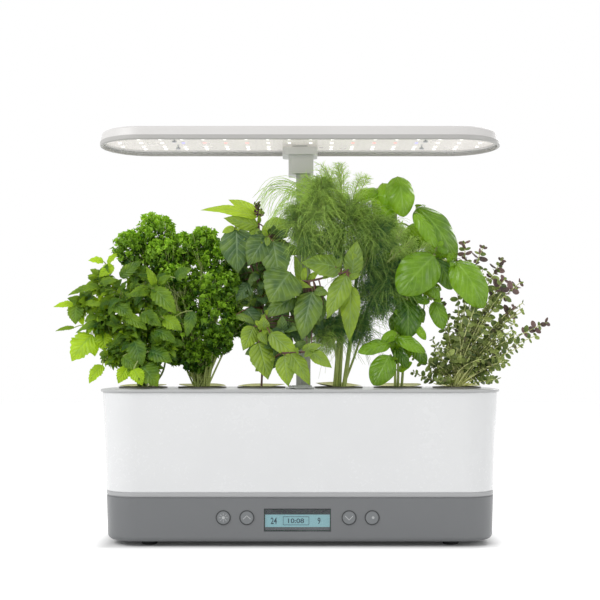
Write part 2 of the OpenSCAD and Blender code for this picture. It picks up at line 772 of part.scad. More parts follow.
// A shoot with crossed pairs of leaves, longest halfway up; its foot leans out of the pod's middle
module shoot(centre, b, pairs, leaf_l, r, start = 0.3) {
    a = centre + 4 * [sin(50 * b[0]), cos(50 * b[0]), 0];
    stem(a, b, r);
    for (k = [0:pairs - 1]) {
        t = start + (1 - start) * k / (pairs - 0.5);
        size = leaf_l * (0.75 + 0.5 * sin(180 * (k + 1) / (pairs + 1))) * (k == pairs - 1 ? 0.8 : 1);
        for (s = [0, 180]) {
            way = 90 * k + 35 + s + 9 * b[0];
            out = [cos(way), sin(way), 0.15];
            leaf(bend(a, b, t), bend(a, b, t) + size * out, 0.55 * size, [-sin(way), cos(way), 0]);
        }
    }
}

// A tuft of fine foliage: [x, z, radius, y, depth]
module tuft(p) {
    hull() translate([p[0], p[3], p[1]]) rotate([p[0], 0, p[1]]) scale([1, p[4] / p[2], 1])
        sphere(p[2], $fn = 8);
}

// Space that the sleeve, the bracket, the hood and the port's lid need for their travel
module travel_room() {
    block([-20, post_y - bracket_d / 2 - 2, deck_top - 1], [20, post_y + bracket_d / 2 + 2, hood_top]);
    block([-port_w / 2 - lid_lap - 1.5, port_y - port_l / 2 - lid_lap - 4.5, deck_top - 1],
        [port_w / 2 + lid_lap + 1.5, post_y - bracket_d / 2, deck_top + port_l + 12]);
}

mint_tufts = [[-150, 252, 17, -26, 14], [-176, 244, 20, -20, 16], [-204, 262, 15, 4, 13], [-224, 238, 13, -4, 11],
    [-200, 224, 19, -16, 16], [-168, 214, 22, -28, 18], [-140, 224, 18, -32, 14], [-186, 190, 18, -24, 15],
    [-158, 184, 18, -34, 15], [-136, 196, 14, -38, 11], [-192, 250, 14, -4, 12]];
mint_leaves = [[-228, 240, -256, 238, 17, -8, -12], [-224, 231, -252, 214, 16, -8, -10], [-216, 252, -244, 256, 15, 2, -2],
    [-208, 278, -230, 291, 20, 8, 12], [-204, 274, -212, 300, 18, 8, 12], [-206, 216, -244, 186, 34, -20, -26],
    [-206, 210, -220, 180, 30, -18, -24], [-196, 190, -222, 166, 25, -28, -34], [-171, 183, -190, 160, 24, -33, -40],
    [-160, 176, -150, 158, 28, -42, -48], [-172, 182, -170, 160, 22, -44, -50], [-150, 256, -132, 232, 24, -36, -44],
    [-150, 258, -154, 280, 15, -30, -36], [-146, 256, -124, 272, 18, -34, -38], [-156, 256, -184, 246, 20, -32, -38],
    [-130, 210, -118, 184, 22, -40, -44], [-210, 250, -224, 232, 20, -14, -20], [-176, 206, -150, 190, 34, -44, -52]];
mint_twigs = [[[-168, -20, 214], [-150, -30, 256]], [[-186, -16, 200], [-226, -8, 240]], [[-192, -4, 230], [-206, 8, 277]],
    [[-186, -16, 200], [-206, -18, 214]], [[-170, -12, 180], [-196, -28, 190]], [[-166, -20, 176], [-172, -42, 184]]];

module mint_raw() {
    for (p = mint_tufts) {
        tuft(p);
        twig(root(0) + 5 * [sin(77 * p[0]), cos(77 * p[0]), 0], [p[0], p[3], p[1]], stem_r);
    }
    for (p = mint_leaves) face_leaf(p);
    for (p = mint_twigs) twig(p[0], p[1], stem_r);
}

parsley_tufts = [[-151, 314, 21, 12, 18], [-177, 298, 18, 14, 15], [-122, 297, 17, 12, 15], [-99, 302, 15, 4, 14],
    [-85, 284, 19, 2, 16], [-154, 284, 24, 22, 17], [-122, 270, 24, 18, 18], [-80, 257, 18, -4, 18],
    [-102, 244, 24, 2, 22], [-134, 244, 21, 22, 16], [-88, 222, 22, -6, 22], [-108, 200, 25, 4, 24],
    [-82, 198, 16, -6, 16], [-128, 212, 18, 20, 16], [-70, 216, 11, 4, 10], [-106, 180, 15, -4, 14]];

module parsley_raw() {
    for (p = parsley_tufts) {
        tuft(p);
        twig(root(1) + 5 * [sin(77 * p[0]), cos(77 * p[0]), 0], [p[0], p[3], p[1]], 1.3);
    }
}

thai_leaves = [[-43, 332, -102, 338, 12, -4, -8], [-43, 335, -75, 349, 12, -2, 8], [-43, 322, -79, 330, 18, -4, -16],
    [-42, 323, -5, 321, 18, -4, -12], [-70, 319, -63, 275, 32, -20, -26], [-52, 302, -22, 283, 26, -26, -32],
    [-40, 296, -21, 264, 28, -24, -30], [-11, 276, -30, 244, 38, -36, -42], [41, 278, 2, 285, 24, -32, -34],
    [58, 276, 59, 307, 19, -34, -38], [47, 271, 27, 225, 21, -34, -44], [53, 259, 51, 198, 20, -34, -36],
    [8, 261, 2, 201, 27, -34, -46], [-7, 250, -37, 226, 20, -28, -34], [-36, 213, -59, 194, 21, -34, -42],
    [-40, 200, -36, 163, 24, -38, -46], [-31, 211, 2, 182, 16, -46, -56], [-17, 189, -13, 157, 19, -52, -60],
    [-8, 190, 9, 158, 16, -53, -62], [11, 191, 32, 173, 12, -55, -60], [-34, 228, -36, 214, 13, -38, -44],
    [-38, 262, -66, 244, 22, 10, 14], [-40, 285, -30, 255, 22, 8, 12], [-38, 240, -26, 212, 20, -5, -12]];
thai_stems = [[[-38, -4, 250], [-43, -3, 336]], [[-38, -4, 250], [-20, -22, 262]], [[-20, -22, 262], [8, -34, 262]],
    [[8, -34, 262], [47, -34, 272]], [[47, -34, 272], [58, -34, 278]], [[-38, -4, 250], [-60, -14, 300]],
    [[-60, -14, 300], [-70, -20, 320]], [[-38, -4, 250], [-46, -18, 296]], [[-46, -18, 296], [-52, -26, 303]],
    [[-40, 0, 190], [-36, -34, 214]], [[-36, -34, 214], [-34, -38, 229]], [[-40, 0, 176], [-18, -52, 190]],
    [[-18, -52, 190], [11, -55, 191]], [[-40, 0, 150], [-38, -4, 250]], [[-38, -4, 250], [-7, -28, 250]],
    [[-52, -26, 303], [-40, -24, 296]], [[-36, -34, 214], [-40, -38, 200]], [[47, -34, 272], [53, -34, 258]],
    [[8, -34, 262], [-11, -36, 276]], [[-38, -4, 250], [-38, 10, 263]], [[-38, -4, 250], [-40, 8, 286]],
    [[47, -34, 272], [41, -32, 278]], [[-36, -34, 214], [-31, -46, 211]]];

module thai_raw() {
    for (p = thai_leaves) face_leaf(p);
    for (p = thai_stems) twig(p[0], p[1], stem_r);
}

dill_tufts = [[50, 324, 36, -8, 15], [78, 312, 25, -10, 12], [94, 268, 24, -8, 8], [76, 246, 26, -6, 14],
    [58, 216, 20, -4, 12], [32, 214, 18, -14, 10], [30, 300, 24, -14, 10], [64, 284, 28, -4, 14]];
dill_plumes = [[34, 318, -40, 350, 26, -14, -16], [30, 326, -14, 372, 24, -12, -12], [36, 330, 20, 380, 22, -10, -8],
    [42, 330, 44, 387, 22, -8, -6], [50, 330, 66, 372, 24, -6, 4], [90, 280, 112, 292, 18, -12, -14],
    [34, 214, 16, 196, 18, -14, -18]];
dill_plume_t = 3;

module dill_raw() {
    for (p = dill_tufts) tuft(p);
    for (p = dill_plumes) face_leaf(p, dill_plume_t);
    for (x = [-4, 0.5, 5]) twig(root(3) + [x, 0, 0], [50 + 2 * x, -4, 300], 2.4);
    twig(root(3), [32, -14, 214], stem_r);
    twig(root(3) + [4, 0, 0], [72, -4, 246], stem_r);
}

basil_leaves = [[95, 373, 105, 331, 32, 6, 0], [61, 355, 98, 305, 28, 24, 18], [121, 343, 161, 289, 32, 8, 4],
    [119, 337, 138, 302, 20, -2, -8], [141, 289, 107, 248, 46, -20, -30], [159, 282, 190, 238, 36, -14, -20],
    [141, 287, 170, 254, 22, 0, -4], [138, 248, 148, 216, 18, -10, -14], [113, 248, 116, 208, 30, -2, -8],
    [89, 203, 60, 191, 20, -24, -32], [100, 203, 129, 190, 16, -22, -30], [94, 188, 73, 158, 28, -32, -40],
    [96, 186, 114, 170, 17, -10, -16], [140, 268, 136, 247, 15, -6, -10], [104, 300, 84, 276, 30, 16, 20],
    [112, 320, 130, 300, 30, 18, 24]];
basil_stems = [[[101, 0, 150], [100, 2, 205]], [[100, 2, 205], [104, 2, 250]], [[104, 2, 250], [138, 0, 288]],
    [[104, 2, 250], [98, 12, 318]], [[98, 12, 318], [95, 6, 374]], [[98, 12, 318], [61, 24, 356]],
    [[138, 0, 288], [121, 8, 344]], [[138, 0, 288], [141, -20, 290]], [[138, 0, 288], [159, -14, 283]],
    [[104, 2, 250], [138, -10, 249]], [[104, 2, 250], [113, -2, 249]], [[100, 2, 205], [89, -24, 204]],
    [[100, 2, 205], [100, -22, 204]], [[101, 0, 180], [94, -32, 189]], [[101, 0, 180], [96, -10, 187]],
    [[138, 0, 288], [140, -6, 269]], [[138, 0, 288], [141, 0, 288]], [[98, 12, 318], [112, 18, 321]],
    [[104, 2, 250], [104, 16, 301]], [[121, 8, 344], [119, -2, 338]]];

module basil_raw() {
    for (p = basil_leaves) face_leaf(p);
    for (p = basil_stems) twig(p[0], p[1], stem_r);
}

thyme_tips = [[172, 12, 305], [189, 4, 295], [208, -4, 285], [236, 4, 264], [255.3, -4, 224],
    [231, -16, 222], [214, -22, 194], [146, 18, 246], [124, 10, 178], [208, -10, 236], [186, -18, 250]];
thyme_tufts = [[160, 186, 14, -4, 12], [184, 184, 15, -8, 12], [172, 206, 15, 0, 13], [146, 200, 12, 12, 10],
    [196, 206, 13, -8, 11], [186, 228, 12, -2, 10], [216, 214, 10, -8, 8], [160, 226, 12, 12, 10], [140, 178, 10, 0, 8],
    [206, 184, 11, -14, 9], [206, 252, 9, -4, 8], [186, 272, 9, 4, 8], [226, 236, 9, 0, 7]];
thyme_leaf = 11;

module thyme_raw() {
    for (tip = thyme_tips) shoot(root(5), tip, 2, thyme_leaf, 1, 0.7);
    for (p = thyme_tufts) {
        tuft(p);
        twig(root(5) + 3 * [sin(77 * p[0]), cos(77 * p[0]), 0], [p[0], p[3], p[1]], 0.9);
    }
}

// The stems end on the sponges' tops
module soil() {
    block([-deck_w / 2, -deck_d / 2, root_z - 10], [deck_w / 2, deck_d / 2, root_z]);
}

module mint_plant() { color("#3f7a2a") difference() { mint_raw(); travel_room(); soil(); } }
module parsley_plant() { color("#3e8a22") difference() { parsley_raw(); mint_raw(); soil(); } }
module thai_basil_plant() { color("#6f9a5a") difference() { thai_raw(); parsley_raw(); travel_room(); soil(); } }
module dill_plant() { color("#4f9a5a") difference() { dill_raw(); thai_raw(); travel_room(); soil(); } }
module basil_plant() { color("#6cb52e") difference() { basil_raw(); dill_raw(); soil(); } }
module thyme_plant() { color("#55703f") difference() { thyme_raw(); basil_raw(); soil(); } }

base_shell();
seat_ring();
bottom_cover();
feet();
cover_screws();
control_board();
board_screws();
lcd_module();
display_window();
tact_switches();
light_button();
up_button();
down_button();
food_button();
power_jack();
bowl();
pump_contacts();
pump_housing();
pump_motor();
impeller();
impeller_cover();
intake_filter();
water_spout();
float_rod();
level_float();
grow_deck();
port_lid();
lid_pin();
mast_guide();
friction_shoe();
lamp_lead();
mast_post();
mast_sleeve();
lamp_bracket();
hood_shell();
led_board();
white_chips();
red_chips();
blue_chips();
lens_cover();
hood_screws();
basket_1();
basket_2();
basket_3();
basket_4();
basket_5();
basket_6();
grow_sponges();
pod_labels();
mint_plant();
parsley_plant();
thai_basil_plant();
dill_plant();
basil_plant();
thyme_plant();
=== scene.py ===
# %% [markdown]
# # A countertop hydroponic garden
# Six herb pods stand in a white water bowl on a grey base, under a lamp hood on a telescoping mast.
# The construction is already there as a fixed frame, in metres: this lesson gives it its finishes,
# and grows the plants in place of the plain solids that hold their room.

# %% Load the frame
import json
import math

import bmesh
import bpy
import numpy as np
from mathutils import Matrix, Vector

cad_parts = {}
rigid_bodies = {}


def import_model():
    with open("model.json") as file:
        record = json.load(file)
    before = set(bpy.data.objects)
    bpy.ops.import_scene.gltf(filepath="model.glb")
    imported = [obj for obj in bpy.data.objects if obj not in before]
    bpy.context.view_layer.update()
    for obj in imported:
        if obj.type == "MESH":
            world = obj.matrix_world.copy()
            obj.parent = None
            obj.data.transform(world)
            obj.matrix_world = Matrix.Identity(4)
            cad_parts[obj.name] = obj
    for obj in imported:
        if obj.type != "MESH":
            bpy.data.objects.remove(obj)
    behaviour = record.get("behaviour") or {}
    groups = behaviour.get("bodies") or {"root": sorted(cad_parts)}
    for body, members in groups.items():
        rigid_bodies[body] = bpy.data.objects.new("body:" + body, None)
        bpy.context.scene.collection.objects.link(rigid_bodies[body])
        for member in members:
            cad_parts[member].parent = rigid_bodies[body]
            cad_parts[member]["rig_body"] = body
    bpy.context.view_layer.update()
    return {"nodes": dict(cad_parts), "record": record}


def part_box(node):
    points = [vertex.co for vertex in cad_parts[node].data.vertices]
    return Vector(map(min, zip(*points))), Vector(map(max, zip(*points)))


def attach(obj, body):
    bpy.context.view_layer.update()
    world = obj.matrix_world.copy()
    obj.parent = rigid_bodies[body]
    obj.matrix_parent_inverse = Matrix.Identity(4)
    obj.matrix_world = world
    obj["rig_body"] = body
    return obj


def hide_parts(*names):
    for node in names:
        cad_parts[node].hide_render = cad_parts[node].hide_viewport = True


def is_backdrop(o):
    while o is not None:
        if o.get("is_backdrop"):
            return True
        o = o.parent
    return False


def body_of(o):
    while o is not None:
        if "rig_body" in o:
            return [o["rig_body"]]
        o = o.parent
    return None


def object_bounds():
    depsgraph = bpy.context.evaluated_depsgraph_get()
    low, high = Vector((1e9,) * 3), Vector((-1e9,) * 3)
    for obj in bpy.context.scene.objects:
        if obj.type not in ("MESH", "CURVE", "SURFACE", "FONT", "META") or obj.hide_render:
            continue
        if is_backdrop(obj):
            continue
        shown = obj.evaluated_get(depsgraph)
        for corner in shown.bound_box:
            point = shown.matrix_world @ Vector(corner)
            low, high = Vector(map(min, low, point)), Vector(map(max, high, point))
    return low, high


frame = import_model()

MM = 0.001
GARDEN = "garden"  # the still body: the lamp, the lid, the keys, the float and the impeller have their own

# %% [markdown]
# ## The camera
# The real photograph was taken from a little over a metre away, level, at about the height of the
# deck's rim, with the frame slid upwards instead of tilting the lens, so upright edges stay upright.
# The camera does the same: it stays level and its shift does the sliding.

# %% Set the camera
EYE = (0, -1.170, 0.181)
LENS_MM, SENSOR_MM = 67.9, 36
FRAME_PX = 600
HORIZON_PX = 362.2

lens = bpy.data.cameras.new("studio_lens")
lens.lens, lens.sensor_width = LENS_MM, SENSOR_MM
lens.shift_y = (HORIZON_PX - FRAME_PX / 2) / FRAME_PX
camera = bpy.data.objects.new("studio_camera", lens)
camera.location, camera.rotation_euler = EYE, (math.radians(90), 0, 0)
bpy.context.scene.collection.objects.link(camera)
bpy.context.scene.camera = camera
print("lens", LENS_MM, "mm, shift", round(lens.shift_y, 4))

# %% [markdown]
# ## Wiring nodes
# A shader is a graph of nodes, and most of them only add, remap or mix. It could be wired one link
# at a time, but a few short helpers make a recipe read like a sum. Each takes plain numbers,
# colours or the outputs of other nodes, and finds the graph to build in from those outputs.

# %% Make helpers for nodes
def tree_of(*values):
    """The node tree that the first node output among values belongs to."""
    return next(v.id_data for v in values if isinstance(v, bpy.types.NodeSocket))


def feed(slot, value):
    """Wires a node's output to an input slot, or sets the slot to a number, a vector or an (r, g, b)."""
    if isinstance(value, bpy.types.NodeSocket):
        slot.id_data.links.new(value, slot)
    else:
        slot.default_value = (*value, 1) if slot.type == "RGBA" else value


def feed_all(node, **values):
    """Feeds a node's inputs by name. Underscores in the names stand for spaces."""
    for name, value in values.items():
        feed(node.inputs[name.replace("_", " ")], value)
    return node


def new_node(tree, kind, **values):
    """A new shader node of a kind with its inputs fed. Returns its outputs."""
    return feed_all(tree.nodes.new("ShaderNode" + kind), **values).outputs


def math_node(operation, a, b=None, clamp=False):
    """One step of a sum on outputs or plain numbers. Returns its result."""
    node = tree_of(a, b).nodes.new("ShaderNodeMath")
    node.operation, node.use_clamp = operation, clamp
    feed(node.inputs[0], a)
    if b is not None:
        feed(node.inputs[1], b)
    return node.outputs[0]


def vector_node(operation, vector, by):
    """A vector made longer by a number with SCALE, or stretched by an (x, y, z) with MULTIPLY."""
    node = tree_of(vector).nodes.new("ShaderNodeVectorMath")
    node.operation = operation
    feed(node.inputs[0], vector)
    feed(node.inputs["Scale"] if operation == "SCALE" else node.inputs[1], by)
    return node.outputs["Vector"]


print("node helpers ready")

# %% [markdown]
# ## Patterns
# Real surfaces vary a little from place to place, so most finishes here start from a soft noise that
# is remapped to a small change of tone, gloss or height. A painted texture would need an image, and
# each piece would need a map to wrap it round. Noise in space fits every piece at the same scale.

# %% Make helpers for patterns
def map_range(value, low, high, to_low, to_high, smooth=False):
    """A value remapped from low..high to to_low..to_high, and kept within them."""
    node = tree_of(value).nodes.new("ShaderNodeMapRange")
    node.interpolation_type = "SMOOTHSTEP" if smooth else "LINEAR"
    feed_all(node, Value=value, From_Min=low, From_Max=high, To_Min=to_low, To_Max=to_high)
    return node.outputs["Result"]


def mix_colour(factor, a, b):
    """A mix of two colours: a where factor is 0, b where it is 1."""
    node = tree_of(factor, a, b).nodes.new("ShaderNodeMix")
    node.data_type = "RGBA"
    slots = [next(s for s in node.inputs if s.type == "VALUE"), *(s for s in node.inputs if s.type == "RGBA")]
    for slot, value in zip(slots, (factor, a, b)):
        feed(slot, value)
    return next(s for s in node.outputs if s.type == "RGBA")


def object_place(tree):
    """Where a point is on its object, in metres, so that a pattern stays on the piece."""
    return new_node(tree, "TexCoord")["Object"]


def noise(place, scale, detail=3.0, rough=0.55):
    """A soft random pattern of scale waves per metre, mostly between 0.3 and 0.7."""
    waves = new_node(tree_of(place), "TexNoise", Vector=place, Scale=scale, Detail=detail, Roughness=rough)
    return waves["Fac"]


print("pattern helpers ready")

# %% [markdown]
# ## Light
# A product shot on white has one broad soft light above and to the left, and a white room that
# fills every shadow. The world gives the fill, and three square soft boxes the rest. The fill is
# weaker than white, so that pale plastic keeps its tone, but where the camera, a mirror or clear
# plastic looks straight at the room, it sees pure white.

# %% Light the studio
FILL = 0.62
LIGHTS = {  # place, the point that it faces, size in metres, watts
    "key_light": ((-1.5, -1.1, 1.5), (0, 0, 0.2), 1.2, 23),
    "side_light": ((1.8, -0.9, 0.7), (0, 0, 0.2), 0.9, 6),
    "rim_light": ((0.9, 1.3, 1.1), (0, 0, 0.28), 0.9, 12)}


def seen_directly(tree):
    """1 for what the camera sees itself, in a mirror or through clear plastic, 0 for light on the object."""
    ray = new_node(tree, "LightPath")
    seen = math_node("ADD", ray["Is Camera Ray"], ray["Is Glossy Ray"], clamp=True)
    return math_node("ADD", seen, ray["Is Transmission Ray"], clamp=True)


world = bpy.data.worlds.new("white_room")
world.use_nodes = True
room = world.node_tree
strength = map_range(seen_directly(room), 0.0, 1.0, FILL, 1.0)
feed_all(room.nodes["Background"], Color=(1, 1, 1), Strength=strength)
bpy.context.scene.world = world
bpy.context.scene.view_settings.view_transform = "Standard"

for name, (place, aim, size, watts) in LIGHTS.items():
    lamp = bpy.data.lights.new(name, "AREA")
    lamp.shape, lamp.size, lamp.energy = "SQUARE", size, watts
    soft_box = bpy.data.objects.new(name, lamp)
    soft_box.location = place
    soft_box.rotation_euler = (Vector(place) - Vector(aim)).to_track_quat("Z", "Y").to_euler()
    bpy.context.scene.collection.objects.link(soft_box)
print("fill", FILL, "and", ", ".join(LIGHTS))

# %% [markdown]
# ## The floor
# The garden stands on white paper, which in the photo can't be told from the white room, yet the
# base keeps a dark contact shadow. More light would wash out the object, so the paper glows a little
# instead, only where it is seen directly. The glow fades to almost nothing under the base, so the dark
# there is partly the base's real shade and partly a painted shadow.

# %% Lay the floor
FLOOR_HALF = 4.0
PAPER_WHITE, PAPER_ROUGH = 0.86, 0.9
FOOTPRINT = (0.188, 0.058)  # half the width and depth of what stands on the floor
SHADOW_EDGE = 0.022         # how far past the footprint the glow is at its full strength
GLOW_BELOW, GLOW = 0.018, 0.42

floor_mesh = bpy.data.meshes.new("floor")
corners = [(x * FLOOR_HALF, y * FLOOR_HALF, 0) for x, y in ((-1, -1), (1, -1), (1, 1), (-1, 1))]
floor_mesh.from_pydata(corners, [], [(0, 1, 2, 3)])
floor = bpy.data.objects.new("floor", floor_mesh)
bpy.context.scene.collection.objects.link(floor)
floor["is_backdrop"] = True

paper = bpy.data.materials.new("white_paper")
paper.use_nodes = True
floor_mesh.materials.append(paper)
tree = paper.node_tree
where = new_node(tree, "SeparateXYZ", Vector=object_place(tree))
# Distance from the footprint: sqrt(max(|x| - w, 0)^2 + max(|y| - d, 0)^2)
past = [math_node("MAXIMUM", math_node("SUBTRACT", math_node("ABSOLUTE", where[axis]), half), 0.0)
        for axis, half in zip("XY", FOOTPRINT)]
squares = [math_node("POWER", distance, 2.0) for distance in past]
away = math_node("SQRT", math_node("ADD", *squares))
# Painted shadow: the glow drops to GLOW_BELOW under and just in front of the base's footprint
glow = map_range(away, 0.0, SHADOW_EDGE, GLOW_BELOW, GLOW, smooth=True)
feed_all(tree.nodes["Principled BSDF"], Base_Color=[PAPER_WHITE] * 3, Roughness=PAPER_ROUGH,
         Emission_Color=(1, 1, 1), Emission_Strength=math_node("MULTIPLY", seen_directly(tree), glow))
print("floor glows by", GLOW, "beyond", SHADOW_EDGE, "m")

# %% [markdown]
# ## A shared plastic skin
# Moulded plastic is never one flat tone: its skin has a fine grain, the gloss changes a little from
# place to place, and handling leaves it slightly cleaner or duller. Each plastic could have its own
# copy of these nodes, but one node group holds the effect once, and every plastic sets its values.

# %% Build the plastic effect
def new_group(name, ins, outs):
    """An empty node group. ins gives its inputs' default numbers or colours, and of its outputs only Color
    is a colour. Returns the group, what its inputs give inside it, and the slots that feed its outputs."""
    group = bpy.data.node_groups.new(name, "ShaderNodeTree")
    for label, value in ins.items():
        kind = "NodeSocketColor" if isinstance(value, tuple) else "NodeSocketFloat"
        group.interface.new_socket(name=label, in_out="INPUT", socket_type=kind).default_value = value
    for label in outs:
        kind = "NodeSocketColor" if label == "Color" else "NodeSocketFloat"
        group.interface.new_socket(name=label, in_out="OUTPUT", socket_type=kind)
    return group, group.nodes.new("NodeGroupInput").outputs, group.nodes.new("NodeGroupOutput").inputs


CLOUDS_PER_M, DUST_PER_M = 14.0, 320.0

inputs = {"Grain Scale": 2500.0, "Colour": (0.5, 0.5, 0.5, 1), "Gloss": 0.4}
plastic_skin, given, out = new_group("plastic_skin", inputs, ["Color", "Roughness", "Height"])
place = object_place(plastic_skin)
grain = noise(place, given["Grain Scale"], 2.0)
cloud = noise(place, CLOUDS_PER_M, 4.0)
dust = noise(place, DUST_PER_M, 5.0, 0.7)
tone = math_node("ADD", map_range(cloud, 0.3, 0.7, 0.965, 1.0), map_range(dust, 0.62, 0.8, 0.0, -0.05))
gloss = math_node("ADD", given["Gloss"], map_range(cloud, 0.3, 0.7, -0.04, 0.05))
feed(out["Color"], vector_node("SCALE", given["Colour"], tone))
feed(out["Roughness"], math_node("ADD", gloss, map_range(dust, 0.55, 0.8, 0.0, 0.12)))
feed(out["Height"], grain)
print("group", plastic_skin.name)

# %% [markdown]
# ## A shared leaf skin
# A leaf has a midrib, side veins that curve forward from it, and a skin that is pushed up between
# them. The veins could be modelled, but at this size a pattern on the leaf's own map is enough: it
# draws lines of equal u minus a share of the distance from the midrib, which sweep forward. How
# bright a leaf is comes with its mesh, as the tone attribute; this is partly the leaf's own green and
# partly painted light and shade, high for leaves that catch the light, low for leaves in shade.

# %% Build the leaf effect
def leaf_map(tree):
    """A leaf's or stem's own map: u runs along it, v across or round it."""
    node = tree.nodes.new("ShaderNodeUVMap")
    node.uv_map = "leaf"
    return node.outputs["UV"]


def leaf_tone(tree):
    """The tone that each point of the mesh carries, from 0 for deep to 1 for bright."""
    node = tree.nodes.new("ShaderNodeAttribute")
    node.attribute_name = "tone"
    return node.outputs["Fac"]


leaf_skin, given, out = new_group(
    "leaf_skin",
    {"Deep": (0.1, 0.3, 0.05, 1), "Bright": (0.3, 0.6, 0.1, 1), "Vein": (0.4, 0.6, 0.3, 1), "Vein Pairs": 7.0,
     "Sweep": 1.1, "Vein Width": 0.09, "Vein Strength": 0.5},
    ["Color", "Height", "Gloss"])
where = new_node(leaf_skin, "SeparateXYZ", Vector=leaf_map(leaf_skin))
side = math_node("MULTIPLY", math_node("ABSOLUTE", math_node("SUBTRACT", where["Y"], 0.5)), 2.0)
# Side veins run where pairs * (u - 0.28 sweep side^0.8) is a whole number, and off_vein is 0 there
bend = math_node("MULTIPLY", math_node("POWER", side, 0.8), 0.28)
sweep = math_node("MULTIPLY", bend, given["Sweep"])
phase = math_node("MULTIPLY", math_node("SUBTRACT", where["X"], sweep), given["Vein Pairs"])
off_middle = math_node("ABSOLUTE", math_node("SUBTRACT", math_node("FRACT", phase), 0.5))
off_vein = math_node("SUBTRACT", 1.0, math_node("MULTIPLY", off_middle, 2.0))
vein_width = math_node("MULTIPLY", given["Vein Width"], 2.5)
vein = map_range(off_vein, 0.0, vein_width, 1.0, 0.0, smooth=True)
vein = math_node("MULTIPLY", vein, map_range(side, 0.55, 1.0, 1.0, 0.25))
rib = map_range(side, 0.0, given["Vein Width"], 1.0, 0.0, smooth=True)
veins = math_node("MULTIPLY", math_node("MAXIMUM", vein, rib), given["Vein Strength"])

place = object_place(leaf_skin)
blotch = noise(place, 90.0, 3.0)
fine = noise(place, 1400.0, 2.0)
tone = math_node("ADD", leaf_tone(leaf_skin), map_range(blotch, 0.3, 0.7, -0.16, 0.16), clamp=True)
feed(out["Color"], mix_colour(veins, mix_colour(tone, given["Deep"], given["Bright"]), given["Vein"]))
quilt = math_node("MULTIPLY", off_vein, map_range(side, 0.0, 0.25, 0.2, 1.0))
raised = math_node("SUBTRACT", quilt, math_node("MULTIPLY", rib, 0.6))
feed(out["Height"], math_node("ADD", raised, math_node("MULTIPLY", fine, 0.15)))
feed(out["Gloss"], map_range(blotch, 0.3, 0.7, -0.05, 0.08))
print("group", leaf_skin.name)

# %% [markdown]
# ## Hardware finishes
# Each slot of the record gets one material. The colours are written as 8-bit values, the way a
# painter would read them off a swatch, and turned into linear light. The plastics differ in gloss
# and in the depth of their grain: the bowl is polished, the hood is satin, and the base has the
# coarse matt of a spark-eroded mould.

# %% Mix the plastics
MATERIALS = {}


def swatch(r, g, b):
    """Linear colour of an 8-bit sRGB swatch: ((v + 0.055) / 1.055) ** 2.4 above the dark toe."""
    values = [v / 255 for v in (r, g, b)]
    return tuple(v / 12.92 if v <= 0.04045 else ((v + 0.055) / 1.055) ** 2.4 for v in values)


def shaded(colour, factor):
    """A linear colour made darker or lighter by a factor."""
    return tuple(factor * v for v in colour)


def new_material(name):
    """An empty Principled material, kept under its name. Returns its tree and shader."""
    made = bpy.data.materials.new(name)
    made.use_nodes = True
    MATERIALS[name] = made
    return made.node_tree, made.node_tree.nodes["Principled BSDF"]


def group_node(tree, group, **values):
    """Puts a shared effect into a tree and feeds its inputs. Returns its outputs."""
    node = tree.nodes.new("ShaderNodeGroup")
    node.node_tree = group
    return feed_all(node, **values).outputs


def bumped(height, strength, depth):
    """The normal of a surface that a height value raises by up to depth metres."""
    return new_node(tree_of(height), "Bump", Height=height, Strength=strength, Distance=depth)["Normal"]


def moulded(name, colour, gloss, grains, depth, coat):
    """Moulded plastic, with grains per metre and their depth in metres."""
    tree, skin = new_material(name)
    shared = group_node(tree, plastic_skin, Colour=colour, Gloss=gloss, Grain_Scale=grains)
    feed_all(skin, Base_Color=shared["Color"], Roughness=shared["Roughness"], Coat_Weight=coat,
             Normal=bumped(shared["Height"], 0.6, depth))


PLASTICS = {  # swatch, roughness, grains per metre, grain depth in metres, coat
    "base_plastic": ((111, 113, 115), 0.44, 1500.0, 0.00010, 0.3),
    "seat_plastic": ((174, 175, 176), 0.42, 2200.0, 0.00005, 0.0),
    "bowl_plastic": ((231, 232, 233), 0.24, 2600.0, 0.00002, 0.3),
    "deck_plastic": ((184, 185, 185), 0.34, 2400.0, 0.00003, 0.1),
    "mast_plastic": ((207, 208, 205), 0.38, 2400.0, 0.00003, 0.0),
    "hood_plastic": ((219, 217, 215), 0.42, 2600.0, 0.00002, 0.08),
    "button_plastic": ((122, 125, 127), 0.48, 1900.0, 0.00006, 0.0),
    "dark_plastic": ((38, 40, 42), 0.42, 2000.0, 0.00005, 0.0),
    "basket_plastic": ((104, 102, 92), 0.36, 2200.0, 0.00003, 0.0),
    "float_foam": ((226, 124, 58), 0.75, 900.0, 0.0003, 0.0),
    "filter_foam": ((92, 106, 70), 0.9, 700.0, 0.0008, 0.0),
    "peat_sponge": ((86, 66, 50), 0.95, 600.0, 0.0012, 0.0),
    "label_paper": ((206, 206, 128), 0.6, 1800.0, 0.00004, 0.0),
    "lcd_glass": ((62, 65, 68), 0.2, 2600.0, 0.00001, 0.3),
    "foot_rubber": ((30, 31, 32), 0.72, 1200.0, 0.0001, 0.0)}
for name, (colour, *finish_values) in PLASTICS.items():
    moulded(name, swatch(*colour), *finish_values)
print(len(PLASTICS), "plastics")

# %% [markdown]
# ## The hood's painted rim shade
# The hood's lower band, the frame that holds its lens, gets a darker grey than the shell above. That
# grey is painted shade: on the real hood the rim turns down and inward, so it catches less light. The
# step between band and shell is in the mesh, so the shade only has to change at its height, over a
# seam too thin to see.

# %% Paint shade on the hood's lower rim
SHADED_RIM_H, SEAM = 4.8 * MM, 0.1 * MM
# Painted shade: the darker grey of the hood's lower rim, which catches less light
RIM_SHADE_GREY = swatch(180, 179, 176)

